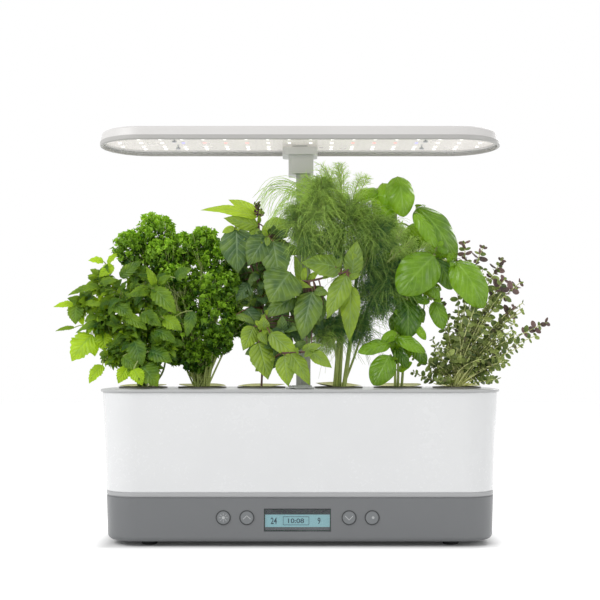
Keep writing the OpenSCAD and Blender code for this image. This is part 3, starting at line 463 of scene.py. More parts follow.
tree = MATERIALS["hood_plastic"].node_tree
shade = tree.nodes["Principled BSDF"].inputs["Base Color"]
seam_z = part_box("hood_shell")[0][2] + SHADED_RIM_H
height = new_node(tree, "SeparateXYZ", Vector=object_place(tree))["Z"]
above = map_range(height, seam_z - SEAM, seam_z + SEAM, 0.0, 1.0)
feed(shade, mix_colour(above, RIM_SHADE_GREY, shade.links[0].from_socket))
print("hood seam at", round(seam_z, 4))

# %% [markdown]
# ## Clear plastic
# The lens and the display's window are thin, so light passes them nearly straight. Real glass nodes
# would bend it and darken what lies behind, so these are mixed from a clear and a mirror-like shader
# by the Fresnel curve. They mirror on the side where light enters only: the far side of a sheet that
# bends nothing would turn into a mirror at a low angle.

# %% Mix the clear plastics
PLASTIC_IOR = 1.49


def show_mixed(tree, share, first, second):
    """Shows a mix of two shaders, where share is how much of the second there is."""
    mixer = tree.nodes.new("ShaderNodeMixShader")
    for slot, value in zip(mixer.inputs, (share, first, second)):
        feed(slot, value)
    feed(tree.nodes["Material Output"].inputs["Surface"], mixer.outputs[0])


def clear_sheet(name, tint, gloss, haze):
    """Thin clear plastic with a Fresnel mirror on top and a little milky haze."""
    tree, skin = new_material(name)
    feed_all(skin, Base_Color=tint, Roughness=gloss)
    smear = map_range(noise(object_place(tree), 26.0), 0.35, 0.75, 0.0, haze)
    mirror = math_node("ADD", new_node(tree, "Fresnel", IOR=PLASTIC_IOR)[0], smear, clamp=True)
    in_front = math_node("SUBTRACT", 1.0, new_node(tree, "NewGeometry")["Backfacing"])
    through = new_node(tree, "BsdfTransparent", Color=tint)[0]
    show_mixed(tree, math_node("MULTIPLY", mirror, in_front), through, skin.outputs[0])


clear_sheet("lens_clear", (0.95, 0.95, 0.95), 0.05, 0.05)
clear_sheet("window_clear", (0.90, 0.93, 0.95), 0.06, 0.04)
print("clear sheets, IOR", PLASTIC_IOR)

# %% [markdown]
# ## Lamp chips and boards
# A lamp chip is a bright dot of phosphor in a pale package. It only has to look lit, so it glows a
# little instead of lighting the scene. Boards are solder mask over slightly raised copper tracks,
# and square Voronoi cells give such a net of tracks with no drawing. The lamp's own board is white,
# and glows faintly: painted light, for the lamps' light that falls on it between the chips.

# %% Mix the chips and boards
LAMP_WARMTH = (1.0, 0.92, 0.86)
TRACK_DEPTH = 0.00004


def chip(name, body, light, power):
    """A lamp chip: a package, with a phosphor on it whose glow is slightly grainy."""
    tree, skin = new_material(name)
    grains = map_range(noise(object_place(tree), 2600.0, 2.0), 0.3, 0.7, 0.82, 1.0)
    feed_all(skin, Base_Color=body, Roughness=0.3, Emission_Color=mix_colour(grains, (0, 0, 0), light),
             Emission_Strength=power)


def board(name, mask, trace, gloss, tracks, lit):
    """A circuit board with tracks per metre, which glows by lit: painted light, for lamp light falling on it.
    """
    tree, skin = new_material(name)
    place = object_place(tree)
    cells = tree.nodes.new("ShaderNodeTexVoronoi")
    cells.distance, cells.feature = "CHEBYCHEV", "F1"
    feed_all(cells, Vector=place, Scale=tracks, Randomness=0.35)
    track = map_range(cells.outputs["Distance"], 0.36, 0.42, 0.0, 1.0, smooth=True)
    cloud = map_range(noise(place, 60.0), 0.3, 0.7, 0.0, 0.2)
    lacquer = mix_colour(math_node("ADD", track, cloud, clamp=True), mask, trace)
    feed_all(skin, Base_Color=lacquer, Roughness=gloss,
             Normal=bumped(track, 0.4, TRACK_DEPTH), Emission_Color=LAMP_WARMTH, Emission_Strength=lit)


chip("chip_white", (0.8, 0.8, 0.74), (1.0, 0.98, 0.95), 2.0)
chip("chip_red", (0.75, 0.3, 0.3), (1.0, 0.42, 0.36), 1.2)
chip("chip_blue", (0.3, 0.3, 0.75), (0.42, 0.38, 1.0), 1.2)
board("circuit_board", swatch(28, 84, 52), swatch(58, 124, 82), 0.35, 420.0, 0.0)
# The reflector board's glow is painted light from the lamps around it
board("reflector_board", swatch(240, 235, 230), swatch(230, 225, 220), 0.9, 160.0, 0.36)
print("chips and boards glow")

# %% [markdown]
# ## Metals
# Screws and the lead's copper are seen closely only when the part is taken apart. Both are one
# noise, which for the copper is stretched along the coil's axis, and which changes tone, gloss and
# height together, as fine marks in metal do.

# %% Mix the metals
def metal(name, colour, gloss, stretch):
    """Metal with fine marks. stretch squeezes the noise, so that the marks run along one axis."""
    tree, skin = new_material(name)
    marks = noise(vector_node("MULTIPLY", object_place(tree), stretch), 600.0, 4.0)
    feed_all(skin, Base_Color=mix_colour(marks, colour, shaded(colour, 0.72)), Metallic=1.0,
             Roughness=map_range(marks, 0.3, 0.7, gloss - 0.08, gloss + 0.12),
             Normal=bumped(marks, 0.3, 0.00003))


metal("screw_steel", swatch(186, 189, 192), 0.32, (1, 1, 1))
metal("copper_coil", swatch(196, 116, 70), 0.36, (0.1, 0.1, 3.0))
print(len(MATERIALS), "hardware materials")

# %% [markdown]
# ## Dress the construction
# The CAD pieces are exact but their edges are knife sharp. A merged copy of each visible piece gets
# a small rounded edge from a bevel that only acts where faces meet at more than 32 degrees, so the
# highlights that real mouldings have along every edge appear. Weighted normals then let the large
# flat faces stay flat, so no streaks fan out from the holes in them. Pieces deep inside keep the CAD
# mesh and only get their finish.

# %% Make tools for dressing
SHARP = math.radians(32)       # edges that turn more than this are rounded
COPLANAR = math.radians(0.05)  # faces that turn less than this are one flat face
WELD = 1e-6
SLOT = {row["node"]: row["material_slot"] for row in frame["record"]["subparts"]}
BODY = {node: (body_of(piece) or [GARDEN])[0] for node, piece in frame["nodes"].items()}


def finish(obj, body, slot_name, *nodes, material=None):
    """Gives a piece its body and its material, the slot's own unless another is named, and lets it stand for
    CAD nodes by hiding them.
    """
    obj.data.materials.clear()
    obj.data.materials.append(MATERIALS[material or slot_name])
    bpy.context.scene.collection.objects.link(obj)
    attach(obj, body)
    if nodes:
        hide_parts(*nodes)


def dressed(node, edge):
    """Adds a merged copy of a CAD node with rounded edges and smooth curved faces."""
    shape = bmesh.new()
    shape.from_mesh(frame["nodes"][node].data)
    bmesh.ops.remove_doubles(shape, verts=shape.verts, dist=WELD)
    bmesh.ops.dissolve_limit(shape, angle_limit=COPLANAR, verts=shape.verts, edges=shape.edges)
    mesh = bpy.data.meshes.new("fine_" + node)
    shape.to_mesh(mesh)
    shape.free()
    mesh.shade_smooth()
    mesh.set_sharp_from_angle(angle=SHARP)
    obj = bpy.data.objects.new("fine_" + node, mesh)
    bevel = obj.modifiers.new("edge", "BEVEL")
    bevel.width, bevel.segments = edge, 3
    bevel.limit_method, bevel.angle_limit = "ANGLE", SHARP
    bevel.use_clamp_overlap, bevel.harden_normals = True, True
    if not SLOT[node].endswith("_clear"):
        weighted = obj.modifiers.new("flat_faces", "WEIGHTED_NORMAL")
        weighted.mode, weighted.weight, weighted.keep_sharp = "FACE_AREA", 90, True
    finish(obj, BODY[node], SLOT[node], node)


print("tools for", len(SLOT), "CAD pieces")

# %% Dress the pieces
PLANTS = [name + "_plant" for name in ("mint", "parsley", "thai_basil", "dill", "basil", "thyme")]
EDGE_MM = {  # the visible pieces, and the radius of their edges
    "base_shell": 0.5, "seat_ring": 0.4, "bottom_cover": 0.4, "feet": 0.5, "bowl": 0.4, "grow_deck": 0.4,
    "port_lid": 0.3, "mast_guide": 0.4, "mast_post": 0.5, "mast_sleeve": 0.6, "lamp_bracket": 0.7,
    "hood_shell": 0.5, "lens_cover": 0.2, "led_board": 0.1, "display_window": 0.2, "lcd_module": 0.15,
    "power_jack": 0.2, "light_button": 0.35, "up_button": 0.35, "down_button": 0.35, "food_button": 0.35,
    "cover_screws": 0.12, "hood_screws": 0.12, "lid_pin": 0.1,
    **{f"basket_{pod}": 0.3 for pod in range(1, 7)}}

for node, edge_mm in EDGE_MM.items():
    dressed(node, edge_mm * MM)
inside = [node for node in frame["nodes"] if node not in EDGE_MM and node not in PLANTS]
for node in inside:
    piece = frame["nodes"][node]
    piece.data.materials.clear()
    piece.data.materials.append(MATERIALS[SLOT[node]])
print(len(EDGE_MM), "dressed,", len(inside), "finished as they are")

# %% [markdown]
# ## Flat shapes and printed colours
# Numbers and signs are printed or lit, and the dark rings round the keys are painted shade; none has
# a thickness of its own. A texture would need an image, so each is a flat shape, a hair in front of
# what it is printed on. Ink, a lit display and painted shade are all slightly uneven, so one recipe
# serves all of them.

# %% Make tools for flat shapes
def ink(name, colour, glow=0.0):
    """A printed colour, or with glow a lit one, a little uneven."""
    tree, skin = new_material(name)
    uneven = map_range(noise(object_place(tree), 700.0), 0.3, 0.7, 0.0, 1.0)
    shade = mix_colour(uneven, shaded(colour, 0.88), shaded(colour, 1.06))
    feed_all(skin, Base_Color=shade, Emission_Color=shade, Emission_Strength=glow, Roughness=0.5)


def flat_piece(name, shapes, face_y, slot_name, body, material):
    """One piece from outlines of (x, z) in metres that face the viewer, each a closed ring of corners."""
    mesh = bpy.data.meshes.new(name)
    sizes = [len(shape) for shape in shapes]
    corners = np.concatenate([np.asarray(shape, float) for shape in shapes])
    faces = [list(range(end - size, end)) for end, size in zip(np.cumsum(sizes), sizes)]
    mesh.from_pydata(np.insert(corners, 1, face_y, axis=1).tolist(), [], faces)
    finish(bpy.data.objects.new(name, mesh), body, slot_name, material=material)


def oblong(low, high):
    """The corners of an upright rectangle, from its low corner to its high one."""
    return [low, (high[0], low[1]), high, (low[0], high[1])]


def bar(start, end, width):
    """The four corners of a straight stroke of a width, from start to end."""
    start, end = np.array(start, float), np.array(end, float)
    side = np.array([start[1] - end[1], end[0] - start[0]]) / np.linalg.norm(end - start) * width / 2
    return [start - side, end - side, end + side, start + side]


def disc(centre, radius, sides=24):
    """The corners of a round dot."""
    turn = np.linspace(0, 2 * np.pi, sides, endpoint=False)
    return np.array(centre) + radius * np.stack([np.cos(turn), np.sin(turn)], -1)


ink("lcd_field", swatch(120, 158, 162), 0.40)
ink("lcd_ink", swatch(20, 60, 72))
ink("lcd_foot", swatch(84, 86, 87))
ink("key_print", swatch(184, 186, 186))
# Painted shade for the dark gap round each key
ink("key_gap_shade", swatch(58, 60, 61))
print("inks", [name for name in MATERIALS if name.startswith(("lcd_", "key_"))])

# %% [markdown]
# ## The display
# The display is a pale blue field behind the window, over a grey foot, with plain numbers on it and
# a frame round the clock. Blender's text would do for the numbers, but a text keeps its place in its
# object, so each is made a mesh, squeezed, and put where it belongs.

# %% Draw the display
FIELD_GAP, INK_GAP = 0.05 * MM, 0.09 * MM   # how far the field and its figures stand before the glass
FIELD_TOP, FIELD_FOOT = 5.1 * MM, 3.2 * MM  # what the field leaves free at the glass's top and foot
BOLDER = 0.02                               # how far the figures' outlines swell, in their own units
NUMBERS = {  # text, height, squeeze, and middle in mm from the left edge, or if negative from the right one
    "days_count": ("24", 6.4, 0.72, 8.6),
    "clock_count": ("10:08", 4.6, 1.25, 30.4),
    "food_count": ("9", 6.4, 0.72, -10.6)}
CLOCK_FRAME = (17.8 * MM, 43.0 * MM, 4.0 * MM, 0.5 * MM)  # left, right, half its height, its line's width


def figures(name, text, height, squeeze, centre, face_y):
    """Printed numbers: a text made a mesh, squeezed sideways, centred and turned to face the viewer."""
    curve = bpy.data.curves.new(name, "FONT")
    curve.body, curve.align_x, curve.align_y, curve.offset = text, "CENTER", "CENTER", BOLDER
    holder = bpy.data.objects.new(name + "_text", curve)
    mesh = bpy.data.meshes.new_from_object(holder)
    bpy.data.objects.remove(holder)
    flat = np.empty(len(mesh.vertices) * 3)
    mesh.vertices.foreach_get("co", flat)
    flat = flat.reshape(-1, 3)[:, :2]
    middle = (flat.min(0) + flat.max(0)) / 2
    scale = height / np.ptp(flat[:, 1])
    x, z = ((flat - middle) * scale * [squeeze, 1] + centre).T
    mesh.vertices.foreach_set("co", np.stack([x, np.full_like(x, face_y), z], -1).reshape(-1))
    mesh.update()
    finish(bpy.data.objects.new(name, mesh), GARDEN, "lcd_glass", material="lcd_ink")
    print(f"{name}: {len(mesh.polygons)} faces, {np.ptp(x) / MM:.1f} mm wide")


(left, lcd_y, lcd_foot), (right, _, lcd_top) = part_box("lcd_module")
field_y, ink_y = lcd_y - FIELD_GAP, lcd_y - INK_GAP
foot, top = lcd_foot + FIELD_FOOT, lcd_top - FIELD_TOP
middle_z = (foot + top) / 2
flat_piece("lcd_field", [oblong((left, foot), (right, top))], field_y, "lcd_glass", GARDEN, "lcd_field")
flat_piece("lcd_foot", [oblong((left, lcd_foot), (right, foot))], field_y, "lcd_glass", GARDEN, "lcd_foot")
for name, (text, height, squeeze, across) in NUMBERS.items():
    edge = left if across > 0 else right
    figures(name, text, height * MM, squeeze, (edge + across * MM, middle_z), ink_y)
start, end, half, line = CLOCK_FRAME
ring = oblong((left + start, middle_z - half), (left + end, middle_z + half))
sides = [bar(ring[k - 1], ring[k], line) for k in (1, 2, 3, 0)]
flat_piece("clock_frame", sides, ink_y, "lcd_glass", GARDEN, "lcd_ink")

# %% [markdown]
# ## The keys
# Each key has its own sign: a sun, an arrow up, an arrow down, and a drop's dot. A sign rides with
# its key, so it goes in when the key is pressed, and the dark ring where the cap meets the casing,
# painted shade for the gap round the cap, stays with the casing.

# %% Print the keys
RING_IN, RING_OUT, RING_SIDES = 6.35 * MM, 7.3 * MM, 48
SIGN_GAP, RING_GAP = 0.05 * MM, 0.04 * MM
RAYS = [(math.cos(turn), math.sin(turn)) for turn in np.arange(8) * math.pi / 4]
SIGNS = {  # strokes (x0, z0, x1, z1, width) and dots (x, z, radius), in mm from the key's middle
    "light_button": ([(2.3 * x, 2.3 * z, 4.4 * x, 4.4 * z, 0.4) for x, z in RAYS], [(0, 0, 1.5)]),
    "up_button": ([(-3.6, -1.4, 0.2, 2.2, 0.7), (-0.2, 2.2, 3.6, -1.4, 0.7)], []),
    "down_button": ([(-3.8, 1.6, 0.2, -2.4, 0.7), (-0.2, -2.4, 3.8, 1.6, 0.7)], []),
    "food_button": ([], [(1.0, 0.1, 1.3)])}

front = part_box("base_shell")[0][1]
for node, (strokes, dots) in SIGNS.items():
    low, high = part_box(node)
    middle = np.array([(low[0] + high[0]) / 2, (low[2] + high[2]) / 2])
    shapes = [bar(middle + MM * np.array(s[:2]), middle + MM * np.array(s[2:4]), s[4] * MM) for s in strokes]
    shapes += [disc(middle + MM * np.array(d[:2]), d[2] * MM) for d in dots]
    flat_piece(node.replace("button", "sign"), shapes, low[1] - SIGN_GAP, SLOT[node], BODY[node], "key_print")
    # A flat dark ring of painted shade, where the gap round the key falls in shadow
    inner, outer = disc(middle, RING_IN, RING_SIDES), disc(middle, RING_OUT, RING_SIDES)
    ring = [[inner[k - 1], outer[k - 1], outer[k], inner[k]] for k in range(RING_SIDES)]
    flat_piece(node.replace("button", "ring"), ring, front - RING_GAP, "base_plastic", GARDEN, "key_gap_shade")
print("signs on", ", ".join(SIGNS))

# %% [markdown]
# ## Growing tools: from grids to meshes
# Every leaf is one small grid of quads, and so is every stem. A mesh could be built one leaf at a
# time, but thousands of them would take minutes, so NumPy works out all the leaves of a plant at
# once, as one stack of grids, and one call hands the whole stack to Blender.

# %% Turn grids into meshes
RNG = np.random.default_rng(21)
FULL_TURN = 6.2832      # in radians
ABOUT_A_TURN = 6.28     # near enough for a random angle
GOLDEN_ANGLE = 2.39996  # the turn that spreads points over a ball most evenly, in radians


def unit(v):
    """Vectors scaled to length 1."""
    return v / np.maximum(np.linalg.norm(v, axis=-1, keepdims=True), 1e-9)


def between(low, high, *shape):
    """Seeded random numbers from low to high."""
    return RNG.uniform(low, high, shape)


def grid_object(name, grids, slot_name, *nodes, material=None):
    """One mesh object from a list of (points, uv, tone), each a stack of N quad grids.
    points is (N, rows, cols, 3) in metres, uv (N, rows, cols, 2) and tone (N, rows, cols)."""
    start, quads = 0, []
    for points, _, _ in grids:
        at = start + np.arange(points[..., 0].size).reshape(points.shape[:3])
        ring = [at[:, :-1, :-1], at[:, :-1, 1:], at[:, 1:, 1:], at[:, 1:, :-1]]
        quads.append(np.stack(ring, -1).reshape(-1, 4))
        start += at.size
    quads = np.concatenate(quads)
    points, uv, tone = (np.concatenate([grid[part].reshape(-1) for grid in grids]).astype(np.float32)
                        for part in range(3))
    mesh = bpy.data.meshes.new(name)
    mesh.vertices.add(start)
    mesh.vertices.foreach_set("co", points)
    mesh.loops.add(quads.size)
    mesh.loops.foreach_set("vertex_index", quads.reshape(-1).astype(np.int32))
    mesh.polygons.add(len(quads))
    mesh.polygons.foreach_set("loop_start", np.arange(0, quads.size, 4, dtype=np.int32))
    mesh.update(calc_edges=True)
    loop_uv = uv.reshape(-1, 2)[quads.reshape(-1)]
    mesh.uv_layers.new(name="leaf").data.foreach_set("uv", loop_uv.reshape(-1))
    mesh.attributes.new("tone", "FLOAT", "POINT").data.foreach_set("value", tone)
    mesh.shade_smooth()
    finish(bpy.data.objects.new(name, mesh), GARDEN, slot_name, *nodes, material=material)
    print(f"{name}: {2 * len(quads)} triangles")


print("seeded, and ready for grids")

# %% [markdown]
# ## Growing tools: leaves
# On a leaf's grid, u runs from the stalk to the tip and v from edge to edge. Adding simple terms to a
# flat grid gives a leaf its life: an arch along it, a fold or dome across it, waves and teeth that
# only act near the edge. Sculpting could do this for one leaf, but a formula does it for all.

# %% Shape leaves
def per_leaf(value, n):
    """A number or N numbers, shaped to multiply (N, rows, cols)."""
    return np.broadcast_to(np.asarray(value, float), (n,)).reshape(n, 1, 1)


def leaves(base, tip, width, face, rows=12, cols=6, arch=0.1, fold=0.15, dome=0.0, wave=0.0, waves=2.0,
           teeth=0, tooth=0.0, shape=(0.55, 0.85), tone=0.4, tilt=0.0):
    """Leaf surfaces. With s(u) = u^a (1-u)^b scaled to 1 at its widest, and W half the width, a point is
    base + u (tip - base) + side v s W (1 + tooth (saw(teeth u) - 1/2) v^4) + face times
    arch L 4u(1-u) + W s (fold |v| - dome v^2 + wave sin(2 pi waves u + phase) |v|^3)."""
    n = len(base)
    u = np.linspace(0, 1, rows + 1)[None, :, None]
    v = np.linspace(-1, 1, cols + 1)[None, None, :]
    run = tip - base
    length = np.linalg.norm(run, axis=-1)
    along = unit(run)
    face = unit(face - np.sum(face * along, -1, keepdims=True) * along)
    side = np.cross(along, face)
    lean = per_leaf(tilt, n)[:, 0]
    side, face = np.cos(lean) * side + np.sin(lean) * face, np.cos(lean) * face - np.sin(lean) * side
    a, b = shape
    peak = (a / (a + b)) ** a * (b / (a + b)) ** b
    s = np.maximum(u ** a * (1 - u) ** b / peak, 0.02)
    half = per_leaf(width, n) / 2
    saw = (u * teeth) % 1.0
    across = v * s * half * (1 + tooth * (saw - 0.5) * v ** 4)
    phase = per_leaf(between(0, ABOUT_A_TURN, n), n) + 1.3 * (v > 0)
    ripple = per_leaf(wave, n) * np.sin(FULL_TURN * waves * u + phase) * np.abs(v) ** 3
    curl = per_leaf(fold, n) * np.abs(v) - per_leaf(dome, n) * v ** 2 + ripple
    lift = per_leaf(arch, n) * length.reshape(n, 1, 1) * 4 * u * (1 - u) + half * s * curl
    points = (base[:, None, None] + u[..., None] * run[:, None, None]
              + across[..., None] * side[:, None, None] + lift[..., None] * face[:, None, None])
    uv = np.stack(np.broadcast_arrays(u, (v + 1) / 2), -1)
    shade = per_leaf(tone, n) + 0.10 * (u - 0.5) + 0.08 * np.abs(v)
    return points, np.broadcast_to(uv, (n, rows + 1, cols + 1, 2)), np.clip(shade, 0, 1)


print("leaf grids ready")

# %% [markdown]
# ## Growing tools: leaves placed by hand
# The big leaves of the photo are listed in rows: where each end is seen, as x and z in the plane of
# the pods, and how far behind that plane it is, or in front of it with a minus. A place in space
# would be simpler to use, but it can't be read off a photo, which only shows the direction from the
# camera, so it is worked out here.

# %% Place leaves on the lines of sight
def toward_viewer(n, spread=0.35, up=0.45):
    """Directions for N leaf faces that look forward and up, each a little differently."""
    return unit(np.array([0, -1.0, up]) + between(-spread, spread, n, 3))


def on_sight(seen_x, y, seen_z):
    """Points at the depth y that hide, for the camera, the points (seen_x, seen_z) of the pods' plane y = 0:
    place = eye + (seen - eye) (1 - y / the eye's y)."""
    near = 1 - y / EYE[1]
    return np.stack([seen_x * near, y, EYE[2] + (seen_z - EYE[2]) * near], -1)


def rows_of(table):
    """Leaf rows [base x, base z, tip x, tip z, width, base y, tip y, tone %] in mm as bases, tips, widths and
    tones. x and z are where the leaf's ends are seen. The tone is partly the leaf's own colour and partly
    painted light and shade: high for a leaf lit from behind, low for one in shade."""
    t = np.array(table, float) * MM
    base, tip = on_sight(t[:, 0], t[:, 5], t[:, 1]), on_sight(t[:, 2], t[:, 6], t[:, 3])
    return base, tip, t[:, 4], t[:, 7] / MM / 100


print("rows of leaves ready, seen from", EYE)

# %% [markdown]
# ## Growing tools: stems
# A stem is the same kind of grid as a leaf, wrapped round a curve, and a curve is a straight line
# pushed aside in its middle. Blender's own curves could do it, but there are thousands of stems, and
# leaf stalks have to end exactly on them.

# %% Shape stems
def curves(start, end, bend, k=8):
    """N curves of k points from start to end, pushed aside by bend in the middle:
    start + t (end - start) + 4t(1-t) bend."""
    t = np.linspace(0, 1, k)[None, :, None]
    return start[:, None] + t * (end - start)[:, None] + 4 * t * (1 - t) * bend[:, None]


def sample(paths, share):
    """Points and directions at some shares, 0 to 1, of the way along N curves."""
    at = share * (paths.shape[1] - 1)
    low = np.floor(at).astype(int).clip(0, paths.shape[1] - 2)
    part = (at - low)[None, :, None]
    return paths[:, low] * (1 - part) + paths[:, low + 1] * part, unit(paths[:, low + 1] - paths[:, low])


def tubes(paths, radius, taper=0.6, sides=5, tone=0.5):
    """Stems round N curves of K points. A point is the curve's + size (cos(turn) aside + sin(turn) third),
    where size goes evenly from the radius to taper times it."""
    n, k, _ = paths.shape
    ahead = unit(np.gradient(paths, axis=1))
    aside = unit(np.cross(ahead, [0.31, 0.83, 0.47]))
    third = np.cross(ahead, aside)
    turn = np.linspace(0, 2 * np.pi, sides + 1)[None, None, :, None]
    size = per_leaf(radius, n) * np.linspace(1, taper, k)[None, :, None]
    ring = np.cos(turn) * aside[:, :, None] + np.sin(turn) * third[:, :, None]
    uv = np.stack(np.broadcast_arrays(np.linspace(0, 1, k)[None, :, None], turn[..., 0] / FULL_TURN), -1)
    shade = np.broadcast_to(np.clip(per_leaf(tone, n), 0, 1), (n, k, sides + 1))
    return paths[:, :, None] + size[..., None] * ring, np.broadcast_to(uv, (n, k, sides + 1, 2)), shade


def stalks(base, stem_points, radius=0.7 * MM, tone=0.6):
    """Short stalks that join leaf bases to the nearest of the points that lie along the stems."""
    gap = np.linalg.norm(base[:, None] - stem_points[None], axis=-1)
    sag = np.outer(0.12 * gap.min(1), [0, 0, 1])
    return tubes(curves(stem_points[gap.argmin(1)], base, sag, 5), radius, 0.8, 5, tone)


PODS = np.array([-162, -101, -40, 40, 101, 162]) * MM  # x of the pods' middles
SPONGE_TOP = 153 * MM


def foot_of(pod, n, spread):
    """N stem feet, close together in the middle of a pod's sponge."""
    turn, out = between(0, ABOUT_A_TURN, n), spread * np.sqrt(between(0.05, 1, n))
    return np.stack([PODS[pod] + out * np.cos(turn), out * np.sin(turn), np.full(n, SPONGE_TOP)], -1)


print("stem tools ready for pods at", PODS)

# %% [markdown]
# ## Growing tools: tufts
# A plant's mass is a handful of tufts, each an ellipsoid given by its middle and radii. Points that
# follow each other by the golden angle cover a ball evenly, with no clumps or gaps. Nothing may grow
# where the lamp's mast slides, where the filling lid swings, or up into the hood.

# %% Fill tufts
MAST_ROOM = (-20 * MM, 26 * MM, 0.0, 42 * MM)  # low x, high x, low y, high y
LID_ROOM = (-18 * MM, 18 * MM, -57 * MM, 8 * MM)
LID_TOP = 193 * MM
CEILING = 388.5 * MM  # about 4 mm under the hood's edge at its lowest place


def golden_ball(count, start):
    """Directions spread evenly over a ball: their heights go in even steps from top to foot, and each is
    turned on by the golden angle from the one before it, beginning at start."""
    k = np.arange(count)
    height = 1 - 2 * (k + 0.5) / count
    turn = GOLDEN_ANGLE * k + start
    flat = np.broadcast_to(np.sqrt(1 - height ** 2), turn.shape)
    return np.stack([flat * np.cos(turn), flat * np.sin(turn), np.broadcast_to(height, turn.shape)], -1)


def tufts_of(table):
    """Tuft rows [x, z, radius, y, depth] in mm as middles and radii."""
    t = np.array(table, float) * MM
    return t[:, [0, 3, 1]], t[:, [2, 4, 2]]


def domes(table, count, depth=0.45):
    """Points and outward directions spread over and inside tufts. A point's distance from its tuft's middle
    is 1 - depth * random^2 of the tuft's radii. Returns the points, the directions and the distances."""
    middle, radii = tufts_of(table)
    ball = golden_ball(count, between(0, ABOUT_A_TURN, len(middle), 1))
    ball = unit(ball + between(-0.2, 0.2, len(middle), count, 3))
    far = 1 - depth * between(0, 1, len(middle), count, 1) ** 2
    spot = middle[:, None] + radii[:, None] * ball * far
    return spot.reshape(-1, 3), ball.reshape(-1, 3), far.reshape(-1)


def within(points, room):
    """True for points whose x and y lie in a room."""
    low_x, high_x, low_y, high_y = room
    x, y = points[..., 0], points[..., 1]
    return (x > low_x) & (x < high_x) & (y > low_y) & (y < high_y)


def clear_of_travel(paths):
    """True for curves (N, K, 3) that keep out of the room of the mast, of the filling lid and of the hood."""
    z = paths[..., 2]
    blocked = within(paths, MAST_ROOM) | (within(paths, LID_ROOM) & (z < LID_TOP)) | (z > CEILING)
    return ~blocked.any(-1)


def thicket(table, count, low, high, hang=-0.3):
    """Inner leaves that fill tufts: count in each, low to high mm long, tips leaning down by hang.
    Returns bases, tips and lengths."""
    spot, out, _ = domes(table, count, 0.9)
    size = between(low, high, len(spot), 1) * MM
    way = unit(out + [0, -0.2, hang] + between(-0.6, 0.6, len(spot), 3))
    base, tip = spot - 0.5 * size * way, spot + 0.5 * size * way
    keep = clear_of_travel(base[:, None] + np.linspace(0, 1, 5)[None, :, None] * (tip - base)[:, None])
    return base[keep], tip[keep], size[keep, 0]


print("tuft tools ready")

# %% [markdown]
# ## The pod labels
# Each pod wears a ring of coated paper. Damp has lifted every rim, most at the back, so a ring's
# height is a wave round it that grows with the square of the way out. The rings in the frame are
# flat, because solids of thin curled paper are hard to build, and this grid of rings stands for them.

# %% Curl the labels
LABEL_IN, LABEL_OUT, LABEL_Z = 8.2 * MM, 24.2 * MM, 156.25 * MM
LABEL_LIFT = np.array([2.0, 2.6, 2.4, 4.0, 3.0, 3.2])[:, None, None] * MM
LABEL_LEAN = np.array([0.3, -0.4, 0.5, -0.8, 0.2, -0.3])[:, None, None]

turn = np.linspace(0, 2 * np.pi, 73)[None, None, :]
way_out = np.linspace(0, 1, 9)[None, :, None]
reach = LABEL_IN + (LABEL_OUT - LABEL_IN) * way_out
wave = 0.55 + 0.45 * np.sin(turn + LABEL_LEAN) + 0.12 * np.sin(3 * turn + 4 * LABEL_LEAN)
rise = LABEL_LIFT * wave * way_out ** 2
ring_x, ring_y = PODS[:, None, None] + reach * np.cos(turn), reach * np.sin(turn)
rings = np.stack(np.broadcast_arrays(ring_x, ring_y, LABEL_Z + rise), -1)
ring_uv = np.stack(np.broadcast_arrays(way_out, turn / FULL_TURN), -1)
ring_uv = np.broadcast_to(ring_uv, rings.shape[:3] + (2,))
grid_object("curled_labels", [(rings, ring_uv, np.full(rise.shape, 0.5))], "label_paper", "pod_labels")

# %% [markdown]
# ## Leaf materials
# A leaf is thin, so part of the light that falls on its back comes out of its front, greener and
# more yellow than what its face reflects. That is the glow of the leaves at the edges of the photo.
# Subsurface scattering is for thick things, so each leaf mixes a waxy surface with a translucent one,
# and the shared leaf skin draws its veins. Some leaves are paler or more purple underneath.

# %% Mix the leaf materials
UNDERSIDE = 0.6  # how much of the underside's own colour shows there


def leafy(name, deep, bright, vein, through, under=None, pairs=3.0, gloss=0.5, glow=0.2, veins=0.5,
          quilt=0.0006, sweep=1.1):
    """A waxy skin over a translucent body that lets through a share glow of the light. quilt is how deep the
    veins are sunk, in metres."""
    tree, skin = new_material(name)
    shared = group_node(tree, leaf_skin, Deep=swatch(*deep), Bright=swatch(*bright), Vein=swatch(*vein),
                        Vein_Pairs=pairs, Vein_Strength=veins, Sweep=sweep)
    shown = shared["Color"]
    if under:
        back = math_node("MULTIPLY", new_node(tree, "NewGeometry")["Backfacing"], UNDERSIDE)
        shown = mix_colour(back, shown, swatch(*under))
    feed_all(skin, Base_Color=shown, Roughness=math_node("ADD", shared["Gloss"], gloss),
             Specular_IOR_Level=0.4, Normal=bumped(shared["Height"], 0.55, quilt))
    body = new_node(tree, "BsdfTranslucent", Color=mix_colour(0.62, shown, swatch(*through)))
    show_mixed(tree, glow, skin.outputs[0], body[0])


